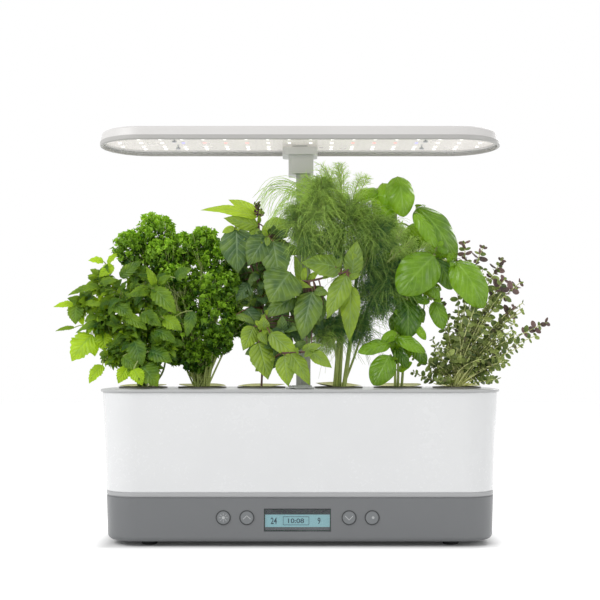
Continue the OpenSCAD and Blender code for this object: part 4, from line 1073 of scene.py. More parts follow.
leafy("mint_leaf", (36, 82, 24), (186, 226, 36), (126, 172, 84), (196, 228, 28), pairs=7.0, gloss=0.44,
      glow=0.28, veins=0.45, quilt=0.0014)
leafy("parsley_leaf", (28, 82, 10), (176, 226, 58), (120, 176, 60), (150, 200, 20), pairs=4.0, gloss=0.42,
      glow=0.26, veins=0.25, quilt=0.0005)
leafy("thai_leaf", (60, 92, 54), (182, 214, 46), (150, 178, 126), (170, 204, 50), (132, 158, 100), pairs=7.0,
      gloss=0.40, veins=0.4, quilt=0.0010)
leafy("dill_leaf", (36, 100, 62), (216, 248, 116), (120, 160, 80), (176, 214, 76), pairs=2.0, glow=0.24,
      veins=0.0, quilt=0.0)
leafy("basil_leaf", (38, 86, 24), (142, 190, 38), (160, 202, 92), (176, 214, 10), pairs=6.0, gloss=0.24,
      veins=0.35, quilt=0.0010, sweep=1.5)
leafy("thyme_leaf", (66, 86, 50), (196, 212, 120), (116, 136, 86), (136, 164, 62), (98, 70, 84), glow=0.22,
      veins=0.2, quilt=0.0003)
leafy("thyme_tip", (44, 40, 40), (148, 118, 118), (140, 130, 110), (150, 120, 100), glow=0.15, veins=0.2,
      quilt=0.0003)
print("leaves", [name for name in MATERIALS if name.endswith(("_leaf", "_tip"))])

# %% [markdown]
# ## Stem materials
# A stem is streaked along its fibre. Stretched noise on the stem's own map gives the streaks, which
# follow every bend, as noise in space would not. Stems are thicker than leaves, so here a little
# subsurface scattering gives the soft light inside.

# %% Mix the stem materials
FIBRE = (3.0, 14.0, 1.0)  # waves along, across


def stem_skin(name, low, high):
    """A stem whose colour is between low and high by its tone."""
    tree, skin = new_material(name)
    fibre = noise(vector_node("MULTIPLY", leaf_map(tree), FIBRE), 1.0, 4.0)
    tone = math_node("ADD", leaf_tone(tree), map_range(fibre, 0.3, 0.7, -0.3, 0.3), clamp=True)
    feed_all(skin, Base_Color=mix_colour(tone, swatch(*low), swatch(*high)), Roughness=0.45,
             Subsurface_Weight=0.15, Subsurface_Radius=(0.002, 0.002, 0.001),
             Normal=bumped(fibre, 0.4, 0.0002))


stem_skin("green_stem", (66, 92, 36), (188, 202, 118))
stem_skin("purple_stem", (62, 34, 40), (128, 92, 62))
stem_skin("pale_stem", (120, 140, 70), (218, 222, 150))
print("stems", [name for name in MATERIALS if name.endswith("_stem")])

# %% [markdown]
# ## Mint
# Mint leaves come in crossed pairs: each pair is turned a quarter round the stem from the one below
# it, smallest at the tip. So a clump is a set of short shoots, each with its whorls, and a few big
# leaves listed where the photo shows them, some of them bright from behind. Scattering the
# leaves by chance would be shorter, but it would look like a hedge.

# %% Shape mint shoots
def whorls(tip, axis, reach, steps):
    """Bases, tips and lengths of crossed leaf pairs along N shoots that end at tip. The k-th of the steps
    from the top sits a share p = (k + 0.4) / steps of the reach below the tip, and its leaves are
    (0.34 + 0.62 p) reach long."""
    n = len(tip)
    first = unit(np.cross(axis, between(-1, 1, n, 3)))
    second = np.cross(axis, first)
    k = np.arange(steps)
    turn = (k % 2) * np.pi / 2 + between(-0.25, 0.25, n, steps)
    out = np.cos(turn)[..., None] * first[:, None] + np.sin(turn)[..., None] * second[:, None]
    out = np.concatenate([out, -out], 1)
    part = np.tile((k + 0.4) / steps, 2)[None, :, None]
    reach = reach[:, None, None]
    base = tip[:, None] - part * reach * axis[:, None]
    size = reach * (0.34 + 0.62 * part) * between(0.85, 1.15, n, 2 * steps, 1)
    way = unit(out + 0.25 * (1.2 - 1.4 * part) * axis[:, None] + between(-0.12, 0.12, n, 2 * steps, 3))
    return base.reshape(-1, 3), (base + size * way).reshape(-1, 3), size.reshape(-1)


def clump(table, shoots, lift):
    """Shoot tips and directions spread over the front of tufts: tip = middle + radii times a direction of
    the golden ball, whose every third one is moved back, and the shoot points the same way, tilted up by
    lift."""
    middle, radii = tufts_of(table)
    ball = golden_ball(shoots, 0)
    ball[:, 1] = -np.abs(ball[:, 1]) + 0.35 * (np.arange(shoots) % 3 == 0)
    tip = middle[:, None] + radii[:, None] * ball * between(0.7, 1.0, len(table), shoots, 1)
    axis = unit(ball + [0, 0, lift] + between(-0.25, 0.25, len(table), shoots, 3))
    return tip.reshape(-1, 3), axis.reshape(-1, 3)


print("shoots ready")

# %% Place the mint
MINT_TUFTS = [  # x, z, radius, y, depth
    [-150, 252, 17, -26, 14], [-176, 244, 20, -20, 16], [-204, 262, 13, 4, 12], [-222, 240, 12, -4, 10],
    [-200, 224, 18, -16, 15], [-168, 214, 22, -28, 18], [-140, 224, 18, -32, 14],
    [-186, 190, 16, -24, 14], [-158, 184, 18, -34, 15], [-136, 196, 14, -38, 11], [-192, 250, 14, -4, 12],
    [-168, 268, 15, 2, 12], [-180, 206, 16, -12, 12], [-150, 210, 18, -12, 14]]
MINT_LEAVES = [  # base x, base z, tip x, tip z, width, base y, tip y, tone %
    [-203, 285, -219, 286, 10, 6, 2, 98], [-199, 283, -187, 294, 8, 6, 4, 95],
    [-193, 281, -208, 269, 12, 2, -2, 98], [-208, 271, -217, 277, 9, 4, 2, 20],
    [-208, 262, -187, 266, 10, -6, -10, 30], [-208, 261, -240, 250, 8, -6, -10, 22],
    [-216, 254, -233, 243, 6, -6, -8, 12], [-232, 241, -255, 238, 8, -8, -12, 80],
    [-231, 241, -232, 220, 18, -8, -12, 15], [-229, 232, -224, 219, 9, -4, -6, 95],
    [-204, 239, -205, 223, 17, -16, -20, 16], [-225, 242, -197, 237, 8, -12, -16, 45],
    [-233, 217, -253, 213, 5, -12, -16, 15], [-201, 222, -232, 211, 10, -18, -22, 14],
    [-214, 209, -236, 182, 29, -20, -26, 68], [-216, 205, -212, 187, 14, -16, -18, 96],
    [-204, 211, -202, 192, 19, -20, -24, 66], [-204, 178, -218, 159, 14, -28, -34, 72],
    [-192, 194, -207, 184, 8, -22, -26, 10], [-187, 188, -199, 178, 11, -26, -30, 92],
    [-171, 203, -163, 177, 20, -44, -50, 10], [-156, 192, -132, 181, 19, -46, -52, 9],
    [-164, 177, -147, 156, 25, -48, -54, 16], [-183, 187, -166, 172, 15, -44, -48, 20],
    [-178, 176, -188, 159, 15, -36, -42, 96], [-172, 175, -169, 161, 14, -40, -44, 88],
    [-172, 174, -163, 157, 15, -54, -58, 97], [-150, 260, -159, 280, 9, -32, -36, 50],
    [-146, 262, -133, 271, 9, -32, -36, 22], [-186, 269, -163, 286, 13, -10, -14, 18],
    [-155, 257, -178, 249, 12, -34, -40, 24], [-151, 257, -128, 231, 20, -36, -46, 26],
    [-129, 268, -112, 278, 14, -30, -34, 14], [-191, 240, -171, 225, 15, -34, -40, 20],
    [-164, 232, -143, 218, 16, -40, -46, 18], [-141, 226, -122, 214, 16, -42, -48, 42],
    [-111, 234, -117, 207, 13, -40, -44, 10], [-180, 228, -158, 214, 14, -38, -44, 30],
    [-150, 214, -128, 200, 15, -44, -50, 14]]
print(len(MINT_TUFTS), "tufts of mint and", len(MINT_LEAVES), "large leaves")

# %% Grow the mint
MINT_SHOOTS = 6  # to each tuft

middle, radii = tufts_of(MINT_TUFTS)
tips, axes = clump(MINT_TUFTS, MINT_SHOOTS, 0.7)
base, tip, size = whorls(tips, axes, np.repeat(radii[:, 0], MINT_SHOOTS) * 0.95, 5)
n = len(base)
shade = between(0.0, 0.26, n) + 0.5 * (between(0, 1, n) > 0.88)
small = leaves(base, tip, 0.5 * size, toward_viewer(n, 0.6, 0.8), 8, 4, arch=between(0.08, 0.22, n),
               fold=0.25, wave=0.15, teeth=4, tooth=0.3, shape=(0.55, 1.05), tone=shade,
               tilt=between(-0.4, 0.4, n))
inner_base, inner_tip, size = thicket(MINT_TUFTS, 26, 10, 19)
n = len(inner_base)
inner = leaves(inner_base, inner_tip, 0.55 * size, toward_viewer(n, 0.6, 0.4), 8, 4, arch=0.12, fold=0.2,
               wave=0.15, teeth=4, tooth=0.25, tone=between(0.0, 0.2, n))
# The tone column holds painted light and shade: leaves near 100 % are painted bright for light shining
# through them from behind, the lowest dark for shade
big_base, tip, width, tone = rows_of(MINT_LEAVES)
big = leaves(big_base, tip, width, toward_viewer(len(tip), 0.3), 24, 8, arch=0.12, fold=0.14, dome=0.1,
             wave=0.14, waves=3, teeth=8, tooth=0.24, shape=(0.52, 0.95), tone=tone)
grid_object("mint_foliage", [small, inner, big], "mint_leaf", "mint_plant")

main = curves(foot_of(0, len(middle), 5 * MM), middle, between(-0.008, 0.008, len(middle), 3), 12)
twig_foot = np.repeat(middle, MINT_SHOOTS, 0)
twig = curves(twig_foot, tips - 0.1 * MM * axes, between(-0.002, 0.002, len(tips), 3), 5)
points = np.concatenate([main.reshape(-1, 3), twig.reshape(-1, 3)])
stems = [tubes(main, 1.3 * MM, 0.6, 7, 0.25), tubes(twig, 0.7 * MM, 0.7, 5, 0.5), stalks(big_base, points),
         stalks(inner_base, points, 0.4 * MM, 0.4)]
grid_object("mint_stems", stems, "mint_leaf", material="green_stem")

# %% [markdown]
# ## Curled parsley
# A curled parsley leaf is cut into dozens of small lobes that all ruffle at their edges, so a head
# of it reads as a dome of bright crinkles with dark gaps. No lobe has to be right by itself: the
# golden angle spreads them evenly over each dome, and their tone rises outwards and upwards, which
# paints light on the outside and top of each head and shade deep inside it.

# %% Grow the parsley
PARSLEY_STEMS, PARSLEY_SPOKES = 3, 8  # stems to each tuft, and spokes at the end of each stem
PARSLEY_TUFTS = [  # x, z, radius, y, depth
    [-151, 316, 19, 12, 17], [-177, 300, 17, 14, 15], [-124, 299, 16, 12, 15], [-100, 305, 15, 4, 14],
    [-84, 286, 18, 2, 16], [-158, 284, 22, 22, 17], [-122, 272, 23, 18, 18], [-80, 260, 18, -4, 18],
    [-102, 246, 22, 2, 20], [-134, 246, 20, 22, 16], [-86, 226, 20, -6, 20], [-108, 206, 22, 4, 22],
    [-84, 204, 14, -6, 15], [-126, 216, 17, 18, 16], [-66, 222, 13, 4, 11], [-106, 186, 15, -4, 14],
    [-72, 244, 12, 0, 12], [-128, 192, 12, 6, 11], [-142, 292, 15, -2, 9], [-130, 268, 13, -8, 8]]

spot, out, far = domes(PARSLEY_TUFTS, 235, 0.5)
n = len(spot)
size = between(4.8, 8.8, n) * MM
way = unit(out + [0, 0, 0.4] + between(-0.7, 0.7, n, 3))
# Painted light and shade: curls are paler at the outside of a dome, on its top, and high on the
# plant, and darker deep inside it
shade = 0.04 + (far - 0.6) + 0.42 * out[:, 2] + between(-0.22, 0.34, n) + 1.2 * (spot[:, 2] - 0.26)
base, tip = spot - 0.45 * size[:, None] * way, spot + 0.55 * size[:, None] * way
curls = leaves(base, tip, size * between(0.8, 1.2, n), unit(out + between(-0.6, 0.6, n, 3)), 5, 4,
               arch=0.12, fold=0.3, wave=0.8, waves=2.5, teeth=2.5, tooth=1.1, shape=(0.6, 0.3),
               tone=np.clip(shade, 0.0, 0.95), tilt=between(-0.5, 0.5, n))
grid_object("parsley_foliage", [curls], "parsley_leaf", "parsley_plant")

top = np.repeat(tufts_of(PARSLEY_TUFTS)[0], PARSLEY_STEMS, 0)
n = len(top)
main = curves(foot_of(1, n, 8 * MM), top + between(-4, 4, n, 3) * MM, between(-0.004, 0.004, n, 3), 10)
n *= PARSLEY_SPOKES
fork, end = (np.repeat(main[:, point], PARSLEY_SPOKES, 0) for point in (-3, -1))
spokes = curves(fork, end + between(-12, 12, n, 3) * MM, between(-0.001, 0.001, n, 3), 5)
stems = [tubes(main, 1.1 * MM, 0.5, 6, 0.75), tubes(spokes, 0.45 * MM, 0.7, 4, 0.5)]
grid_object("parsley_stems", stems, "parsley_leaf", material="green_stem")

# %% [markdown]
# ## Thai basil
# Its broad leaves are grey-green with sunken veins, its newest top leaves narrow and lime, and its
# stems and flower bud are purple-brown. The large leaves overlap in a way that the eye knows from
# the photo, so each is listed one by one, and darker ones fill the shade behind them.

# %% Make tools for leafy stems
YOUNG_FOOT = 162 * MM  # young leaves keep above the deck
STEM_POINTS = 8


def stem_lines(table):
    """Stem rows [x, y, z, x, y, z] in mm as N curves, each bowed a little."""
    t = np.array(table, float) * MM
    return curves(t[:, :3], t[:, 3:], between(-0.0015, 0.0015, len(t), 3), STEM_POINTS)


def young_leaves(points, count, low, high, wide, way_up):
    """Small leaves, low to high mm long, that sprout along stems by chance, but not on the first stem."""
    seeds = points[RNG.integers(STEM_POINTS, len(points), count)]
    way = unit(between(-1, 1, count, 3) + [0, -0.7, way_up])
    ends = seeds + between(low, high, count, 1) * MM * way
    above_deck = np.minimum(seeds, ends)[:, 2] > YOUNG_FOOT
    keep = clear_of_travel(np.stack([ends, (seeds + ends) / 2], 1)) & above_deck
    seeds, ends = seeds[keep], ends[keep]
    n, width = len(seeds), wide * np.linalg.norm(ends - seeds, axis=-1)
    return leaves(seeds, ends, width, toward_viewer(n, 0.6), 10, 6, arch=0.15, fold=0.2, dome=0.2,
                  shape=(0.6, 0.8), tone=between(0.3, 0.8, n))


print("young leaves ready")

# %% Place the Thai basil
THAI_LEAVES = [  # base x, base z, tip x, tip z, width, base y, tip y, tone %
    [-44, 331, -103, 338, 12, -4, -8, 97], [-43, 334, -74, 349, 12, -2, 8, 92],
    [-43, 322, -79, 330, 16, -4, -16, 66], [-38, 321, -5, 322, 20, -4, -12, 74],
    [-44, 320, -50, 303, 13, -4, -10, 66], [-66, 319, -64, 273, 33, -20, -26, 2],
    [-34, 311, -54, 281, 28, -24, -30, 12], [-28, 306, -20, 263, 29, -26, -34, 16],
    [-10, 274, -32, 243, 40, -36, -42, 20], [43, 278, 1, 284, 25, -32, -36, 42],
    [37, 280, 44, 289, 8, -34, -36, 50], [54, 271, 59, 307, 19, -34, -38, 48],
    [48, 271, 28, 226, 21, -34, -44, 62], [53, 260, 51, 202, 19, -34, -36, 76],
    [13, 254, 2, 203, 27, -34, -46, 32], [-5, 249, -38, 227, 19, -28, -36, 20],
    [15, 255, 30, 251, 10, -34, -38, 30], [50, 268, 64, 272, 7, -34, -36, 60],
    [-48, 218, -59, 193, 18, -34, -42, 76], [-37, 213, -38, 229, 12, -38, -42, 78],
    [-43, 201, -33, 163, 24, -40, -50, 74], [-42, 212, -34, 199, 9, -42, -46, 70],
    [-31, 211, 1, 182, 18, -48, -58, 78], [-16, 188, -12, 156, 19, -57, -63, 66],
    [-10, 190, 10, 157, 17, -58, -63, 62], [2, 193, 23, 199, 9, -56, -58, 70],
    [11, 192, 33, 175, 13, -58, -62, 66], [-66, 230, -45, 219, 9, -20, -28, 36],
    [4, 257, -6, 293, 10, -24, -22, 48], [8, 265, 20, 275, 8, -30, -32, 76],
    [-12, 264, 12, 258, 9, -30, -36, 66], [-58, 296, -44, 286, 12, -12, -18, 20],
    [-20, 300, 2, 292, 13, -14, -20, 18], [-52, 262, -66, 244, 18, -10, -14, 4],
    [-56, 236, -40, 214, 17, -14, -20, 6], [24, 240, 14, 218, 12, -26, -30, 22]]
THAI_TUFTS = [  # x, z, radius, y, depth
    [-48, 284, 22, 4, 10], [-30, 268, 20, -12, 8], [-42, 242, 22, -6, 10], [-32, 214, 17, -14, 9],
    [-10, 238, 16, -16, 7], [-26, 300, 16, -10, 7], [-60, 262, 14, 8, 8], [8, 222, 12, -26, 7],
    [-22, 192, 12, -34, 8], [14, 246, 12, -22, 6], [-14, 206, 14, -32, 8], [-4, 190, 9, -40, 6],
    [-36, 190, 11, -18, 7]]
THAI_STEMS = [  # from x, y, z, to x, y, z
    [-40, 0, 153, -38, -4, 250], [-38, -4, 250, -43, -3, 336], [-38, -4, 250, -20, -22, 262],
    [-20, -22, 262, 8, -34, 262], [8, -34, 262, 47, -34, 272], [47, -34, 272, 58, -34, 278],
    [-38, -4, 250, -60, -14, 300], [-60, -14, 300, -66, -20, 318], [-38, -4, 250, -46, -18, 296],
    [-46, -18, 296, -33, -26, 308], [-40, 0, 190, -36, -34, 214], [-36, -34, 214, -34, -38, 229],
    [-40, 0, 176, -18, -57, 190], [-18, -57, 190, 11, -58, 192], [-38, -4, 250, -40, 8, 286]]
print(len(THAI_LEAVES), "large leaves on", len(THAI_STEMS), "lengths of stem")

# %% Grow the Thai basil
WIDER = 1.06                 # makes up for the width that a folded leaf loses
BACKLIT, SHADED = 0.8, 0.62  # large leaves below the backlit tone are in shade, so darker than their row

base, tip, width, tone = rows_of(THAI_LEAVES)
tone = np.where(tone < BACKLIT, SHADED * tone, tone)
n = len(base)
large = leaves(base, tip, WIDER * width, toward_viewer(n, 0.22, 0.35), 30, 12,
               arch=between(0.04, 0.14, n), fold=0.10, dome=0.22, wave=0.09, waves=2.5, teeth=9, tooth=0.08,
               shape=(0.55, 1.05), tone=tone)
inner_base, inner_tip, size = thicket(THAI_TUFTS, 26, 12, 24, -0.6)
n = len(inner_base)
inner = leaves(inner_base, inner_tip, 0.55 * size, toward_viewer(n, 0.5, 0.2), 10, 6, dome=0.15, wave=0.1,
               teeth=4, tooth=0.1, shape=(0.6, 0.85), tone=between(-0.1, 0.12, n))
lines = stem_lines(THAI_STEMS)
points = lines.reshape(-1, 3)
young = young_leaves(points, 60, 7, 15, 0.5, 0.2)
grid_object("thai_basil_foliage", [large, inner, young], "thai_leaf", "thai_basil_plant")
stems = [tubes(lines, 1.2 * MM, 0.85, 8, 0.35), stalks(base, points, 0.8 * MM, 0.6),
         stalks(inner_base, points, 0.4 * MM, 0.3)]
grid_object("thai_basil_stems", stems, "thai_leaf", material="purple_stem")

# %% [markdown]
# ## The flower bud
# The Thai basil has one small bud at its top, a column of scales that fit round each other. They
# turn on by about the golden angle from one to the next, as scales on real buds do, and the upper
# ones stand more upright.

# %% Grow the bud
SCALES, SCALE_TURN = 22, 2.4
BUD_X, BUD_Y, BUD_FOOT, BUD_TOP = -43 * MM, -4 * MM, 331 * MM, 343 * MM

turn = SCALE_TURN * np.arange(SCALES)
bud = [BUD_X, BUD_Y, 0] + between(-2, 2, SCALES, 3) * MM
bud[:, 2] = np.linspace(BUD_FOOT, BUD_TOP, SCALES)
way = unit(np.stack([np.cos(turn), np.sin(turn), np.linspace(0.3, 1.6, SCALES)], -1))
ends = bud + np.linspace(6, 4.5, SCALES)[:, None] * MM * way
scales = leaves(bud, ends, 3.4 * MM, way[:, [1, 0, 2]], 6, 4, arch=0.2, fold=0.5,
                tone=between(0.0, 0.3, SCALES))
grid_object("thai_basil_bud", [scales], "thai_leaf", material="purple_stem")

# %% [markdown]
# ## Genovese basil
# These leaves are domed like spoons, glossy and bright, with the blade puffed up between the veins.
# The dome matters most: a flat leaf of the same outline looks like paper, because its highlight
# doesn't bend.

# %% Place the Genovese basil
BASIL_LEAVES = [  # base x, base z, tip x, tip z, width, base y, tip y, tone %
    [101, 373, 107, 331, 30, 6, 0, 62], [80, 361, 96, 302, 24, 18, 14, 88],
    [83, 357, 54, 349, 17, 14, 20, 78], [121, 341, 161, 286, 34, 6, 4, 22],
    [119, 335, 142, 299, 17, -4, -8, 80], [139, 291, 102, 252, 42, -20, -30, 52],
    [142, 288, 157, 256, 22, -8, -12, 6], [160, 285, 190, 237, 35, -14, -20, 62],
    [132, 263, 144, 246, 12, -12, -16, 50], [111, 245, 112, 206, 30, -4, -12, 14],
    [139, 244, 148, 215, 18, -10, -14, 34], [93, 201, 60, 191, 17, -24, -32, 52],
    [99, 206, 129, 191, 15, -22, -30, 66], [93, 188, 76, 157, 26, -32, -40, 42],
    [97, 197, 112, 175, 14, -12, -18, 22], [102, 172, 116, 181, 9, -10, -14, 74],
    [120, 219, 130, 204, 9, -8, -12, 86], [100, 212, 84, 204, 10, -20, -24, 80],
    [110, 252, 128, 246, 9, -14, -18, 24], [142, 300, 154, 293, 8, -8, -12, 55],
    [142, 300, 148, 306, 7, -8, -10, 66], [104, 300, 86, 270, 28, 18, 20, 70],
    [112, 322, 130, 300, 26, 20, 24, 40], [90, 318, 74, 296, 20, 12, 14, 84],
    [128, 236, 112, 222, 16, -2, -4, 10], [106, 232, 94, 214, 17, 2, 0, 12],
    [116, 200, 130, 178, 15, -2, -6, 12], [86, 366, 98, 336, 22, 14, 12, 99],
    [90, 334, 98, 304, 18, 14, 10, 99]]
BASIL_TUFTS = [  # x, z, radius, y, depth
    [112, 300, 18, 18, 10], [126, 262, 16, 8, 9], [112, 232, 16, 8, 9], [104, 200, 12, 6, 8],
    [142, 276, 12, 6, 8], [98, 276, 16, 20, 8]]
BASIL_STEMS = [  # from x, y, z, to x, y, z
    [101, 0, 153, 100, 2, 205], [100, 2, 205, 104, 2, 250], [104, 2, 250, 138, 0, 288],
    [104, 2, 250, 98, 12, 318], [98, 12, 318, 100, 6, 366], [98, 12, 318, 80, 18, 359],
    [138, 0, 288, 121, 6, 342], [138, 0, 288, 137, -20, 290], [138, 0, 288, 158, -14, 284],
    [104, 2, 250, 137, -10, 246], [104, 2, 250, 110, -4, 247], [100, 2, 205, 89, -24, 202],
    [100, 2, 205, 98, -22, 206], [101, 0, 180, 91, -32, 188], [101, 0, 180, 97, -12, 197],
    [105, 2, 153, 108, 0, 215], [98, -2, 153, 96, -14, 190]]
print(len(BASIL_LEAVES), "large leaves on", len(BASIL_STEMS), "lengths of stem")

# %% Grow the Genovese basil
base, tip, width, tone = rows_of(BASIL_LEAVES)
n = len(base)
large = leaves(base, tip, width, toward_viewer(n, 0.2, 0.5), 30, 14, arch=between(0.10, 0.2, n), fold=0.12,
               dome=0.5, wave=0.10, shape=(0.5, 0.66), tone=tone)
inner_base, inner_tip, size = thicket(BASIL_TUFTS, 14, 14, 26, -0.5)
n = len(inner_base)
inner = leaves(inner_base, inner_tip, 0.6 * size, toward_viewer(n, 0.5, 0.3), 10, 6, arch=0.14, fold=0.12,
               dome=0.4, shape=(0.5, 0.65), tone=between(0.0, 0.35, n))
lines = stem_lines(BASIL_STEMS)
points = lines.reshape(-1, 3)
young = young_leaves(points, 50, 8, 17, 0.62, 0.4)
grid_object("basil_foliage", [large, inner, young], "basil_leaf", "basil_plant")
stems = [tubes(lines, 1.5 * MM, 0.8, 8, 0.6), stalks(base, points, 1.0 * MM, 0.7),
         stalks(inner_base, points, 0.6 * MM, 0.5)]
grid_object("basil_stems", stems, "basil_leaf", material="green_stem")

# %% [markdown]
# ## Dill
# Dill is nearly all threads. Each frond has a rib, side ribs in pairs, and threads on those, and the
# three levels are made the same way: points along the parent, directions that fan out from it, and
# a slight droop by weight. Hair particles would be quick, but they are no mesh and don't export. A
# thread is a three-sided tube of two segments, so tens of thousands stay light.

# %% Shape dill threads
def fan(parents, per_parent, reach, spread, droop):
    """Children of N parent curves, as curves of 3 points. They leave a parent on alternating sides, turned
    from its direction by spread. One that leaves at the share a of the way is about reach (1.1 - 0.75 a)
    long, and its tip sinks by droop times its length."""
    n = len(parents)
    at = np.linspace(0.15, 0.98, per_parent)
    root, ahead = sample(parents, at)
    aside = unit(np.cross(ahead, [0.05, 1.0, 0.1]) + between(-0.35, 0.35, n, per_parent, 3))
    flip = np.where(np.arange(per_parent) % 2, 1.0, -1.0)[None, :, None]
    out = ahead * np.cos(spread) + aside * flip * np.sin(spread)
    way = unit(out + between(-0.25, 0.25, n, per_parent, 3))
    size = reach * (1.1 - 0.75 * at)[None, :, None] * between(0.7, 1.2, n, per_parent, 1)
    tip = root + size * way
    tip[..., 2:] -= droop * size
    return curves(root.reshape(-1, 3), tip.reshape(-1, 3), (0.06 * size * [0, 0, 1.0]).reshape(-1, 3), 3)


def keep_clear(paths):
    """Drops threads that would brush the mast, the lid or the hood as they move."""
    return paths[clear_of_travel(paths)]


def painted_light_by_height(paths, low, high):
    """Tones from low at z = 270 mm to high at 370 mm, paler to the left, each a little different: painted
    light and shade, paler where the dill's top and left side face the light.
    """
    mid = paths[:, paths.shape[1] // 2]
    height = np.clip((mid[:, 2] - 0.27) / 0.10, 0, 1)
    tone = low + (high - low) * height - 1.2 * (mid[:, 0] - 0.05) + between(-0.12, 0.2, len(mid))
    return np.clip(tone, 0.0, 0.98)


print("threads ready")

# %% [markdown]
# The mass of the dill is a set of tufts full of fronds, some longer threads that comb over them like
# hair, a spray of threads that arches over the mast to the left, and feathery plumes at the top,
# which the light shines through.

# %% Grow the dill's fronds
DILL_TUFTS = [  # x, z, radius, y, depth
    [50, 324, 36, -8, 15], [78, 312, 25, -10, 12], [94, 268, 24, -8, 8], [76, 246, 26, -6, 14],
    [58, 216, 20, -4, 12], [32, 214, 18, -14, 10], [30, 300, 24, -14, 10], [64, 284, 28, -4, 14],
    [20, 334, 20, -20, 9], [0, 326, 18, -20, 9], [4, 304, 16, -22, 8], [22, 356, 14, -18, 7]]
FEWEST_FRONDS, FRONDS_PER_M2 = 14, 32000  # a tuft has the first, and the second times its radius squared

ribs = []
for middle, radii in zip(*tufts_of(DILL_TUFTS)):
    count = int(FRONDS_PER_M2 * radii[0] * radii[0]) + FEWEST_FRONDS
    out = unit(between(-1, 1, count, 3) + [0, -0.2, 0.1])
    start = middle + between(-0.25, 0.25, count, 3) * radii
    end = middle + out * radii * between(0.75, 1.0, count, 1)
    ribs.append(curves(start, end, between(-0.003, 0.003, count, 3) + [0, 0, 0.003], 6))
ribs = np.concatenate(ribs)
inner_sides = fan(ribs, 12, 9 * MM, 0.8, 0.25)
inner_threads = fan(inner_sides, 5, 7.5 * MM, 0.6, 0.2)
print(len(ribs), "fronds with", len(inner_threads), "threads")

# %% Comb the dill's hair and arches
HAIRS, ARCHES = 3000, 16  # in all, and to each arc
HAIR_SHARE = [0.24, 0.12, 0.09, 0.1, 0.07, 0.04, 0.08, 0.1, 0.06, 0.04, 0.03, 0.03]  # how much each tuft gets
DILL_ARCS = [  # start x, start z, crown x, crown z, end x, end z, y: threads that arch over and hang
    [30, 330, -14, 378, -42, 346, -14], [28, 326, -20, 372, -36, 334, -16],
    [26, 322, -6, 366, -24, 328, -18], [30, 328, -2, 376, -14, 336, -12],
    [24, 318, -12, 352, -30, 318, -20], [34, 332, 6, 382, -4, 344, -12], [36, 330, 10, 364, 2, 326, -18]]

chosen = RNG.choice(len(DILL_TUFTS), HAIRS, p=HAIR_SHARE)
middle, radii = (values[chosen] for values in tufts_of(DILL_TUFTS))
ball = unit(between(-1, 1, HAIRS, 3))
root = middle + ball * radii * between(0.2, 0.9, HAIRS, 1)
reach = between(12, 30, HAIRS, 1) * MM
comb = unit(ball + [0.1, -0.3, 0.5] + between(-0.3, 0.3, HAIRS, 3))
hair = curves(root, root + reach * (comb + [0, 0, -0.55]), 0.16 * reach * np.array([0, -0.4, 1.0]), 7)

arc = np.repeat(np.array(DILL_ARCS, float) * MM, ARCHES, 0)
arc += between(-7, 7, *arc.shape) * MM
start, crown, end = (np.stack([arc[:, k], arc[:, 6], arc[:, k + 1]], -1)[:, None] for k in (0, 2, 4))
pull = 1.35 * crown - 0.35 * (start + end) / 2
t = np.linspace(0, 1, 12)[None, :, None]
arches = (1 - t) ** 2 * start + 2 * t * (1 - t) * pull + t ** 2 * end
print(len(hair), "hairs and", len(arches), "arching threads")

# %% Spread the dill's plumes
PLUME_RIBS = 4            # to each plume
PLUME_TOP = 384 * MM      # ribs end under the lamps
DILL_PLUMES = [  # base x, base z, tip x, tip z, width, base y, tip y
    [34, 330, 8, 366, 20, -12, -14], [36, 332, 22, 380, 20, -10, -8], [42, 334, 44, 387, 20, -8, -6],
    [50, 334, 64, 374, 22, -6, 4], [44, 330, 30, 372, 22, -9, -10], [88, 282, 116, 304, 18, -12, -14],
    [92, 290, 104, 318, 18, -12, -14], [96, 276, 130, 296, 16, -12, -14],
    [34, 214, 14, 196, 18, -14, -18], [40, 206, 22, 188, 14, -20, -26]]

rows = np.repeat(np.array(DILL_PLUMES, float) * MM, PLUME_RIBS, 0)
base, tip, width = rows[:, [0, 5, 1]], rows[:, [2, 6, 3]], rows[:, 4:5]
tip = tip + between(-0.3, 0.3, len(tip), 3) * width * [1, 0.3, 1]
tip[:, 2] = np.minimum(tip[:, 2], PLUME_TOP)
plumes = curves(base, tip, between(0.0, 0.006, len(tip), 3) * [0.5, 0, 1], 8)
plume_sides = fan(plumes, 14, 13 * MM, 0.6, 0.05)
plume_threads = fan(plume_sides, 5, 8 * MM, 0.5, 0.1)
print(len(plumes), "plume ribs with", len(plume_threads), "threads")

# %% [markdown]
# The threads become tubes here, in four pieces, because one piece of them all would be too heavy to
# edit. Threads that would brush the lamp's mast are left out, and the rest get paler with height and
# to the left, which is painted light; the threads deep in the mass get the darkest range, which is
# painted shade.

# %% Turn the dill's threads into tubes
inner_sides, inner_threads = keep_clear(inner_sides), keep_clear(inner_threads)
plume_sides, plume_threads = keep_clear(plume_sides), keep_clear(plume_threads)
hair, arches = keep_clear(hair), keep_clear(arches)
half = len(inner_threads) // 2
first, second = inner_threads[:half], inner_threads[half:]

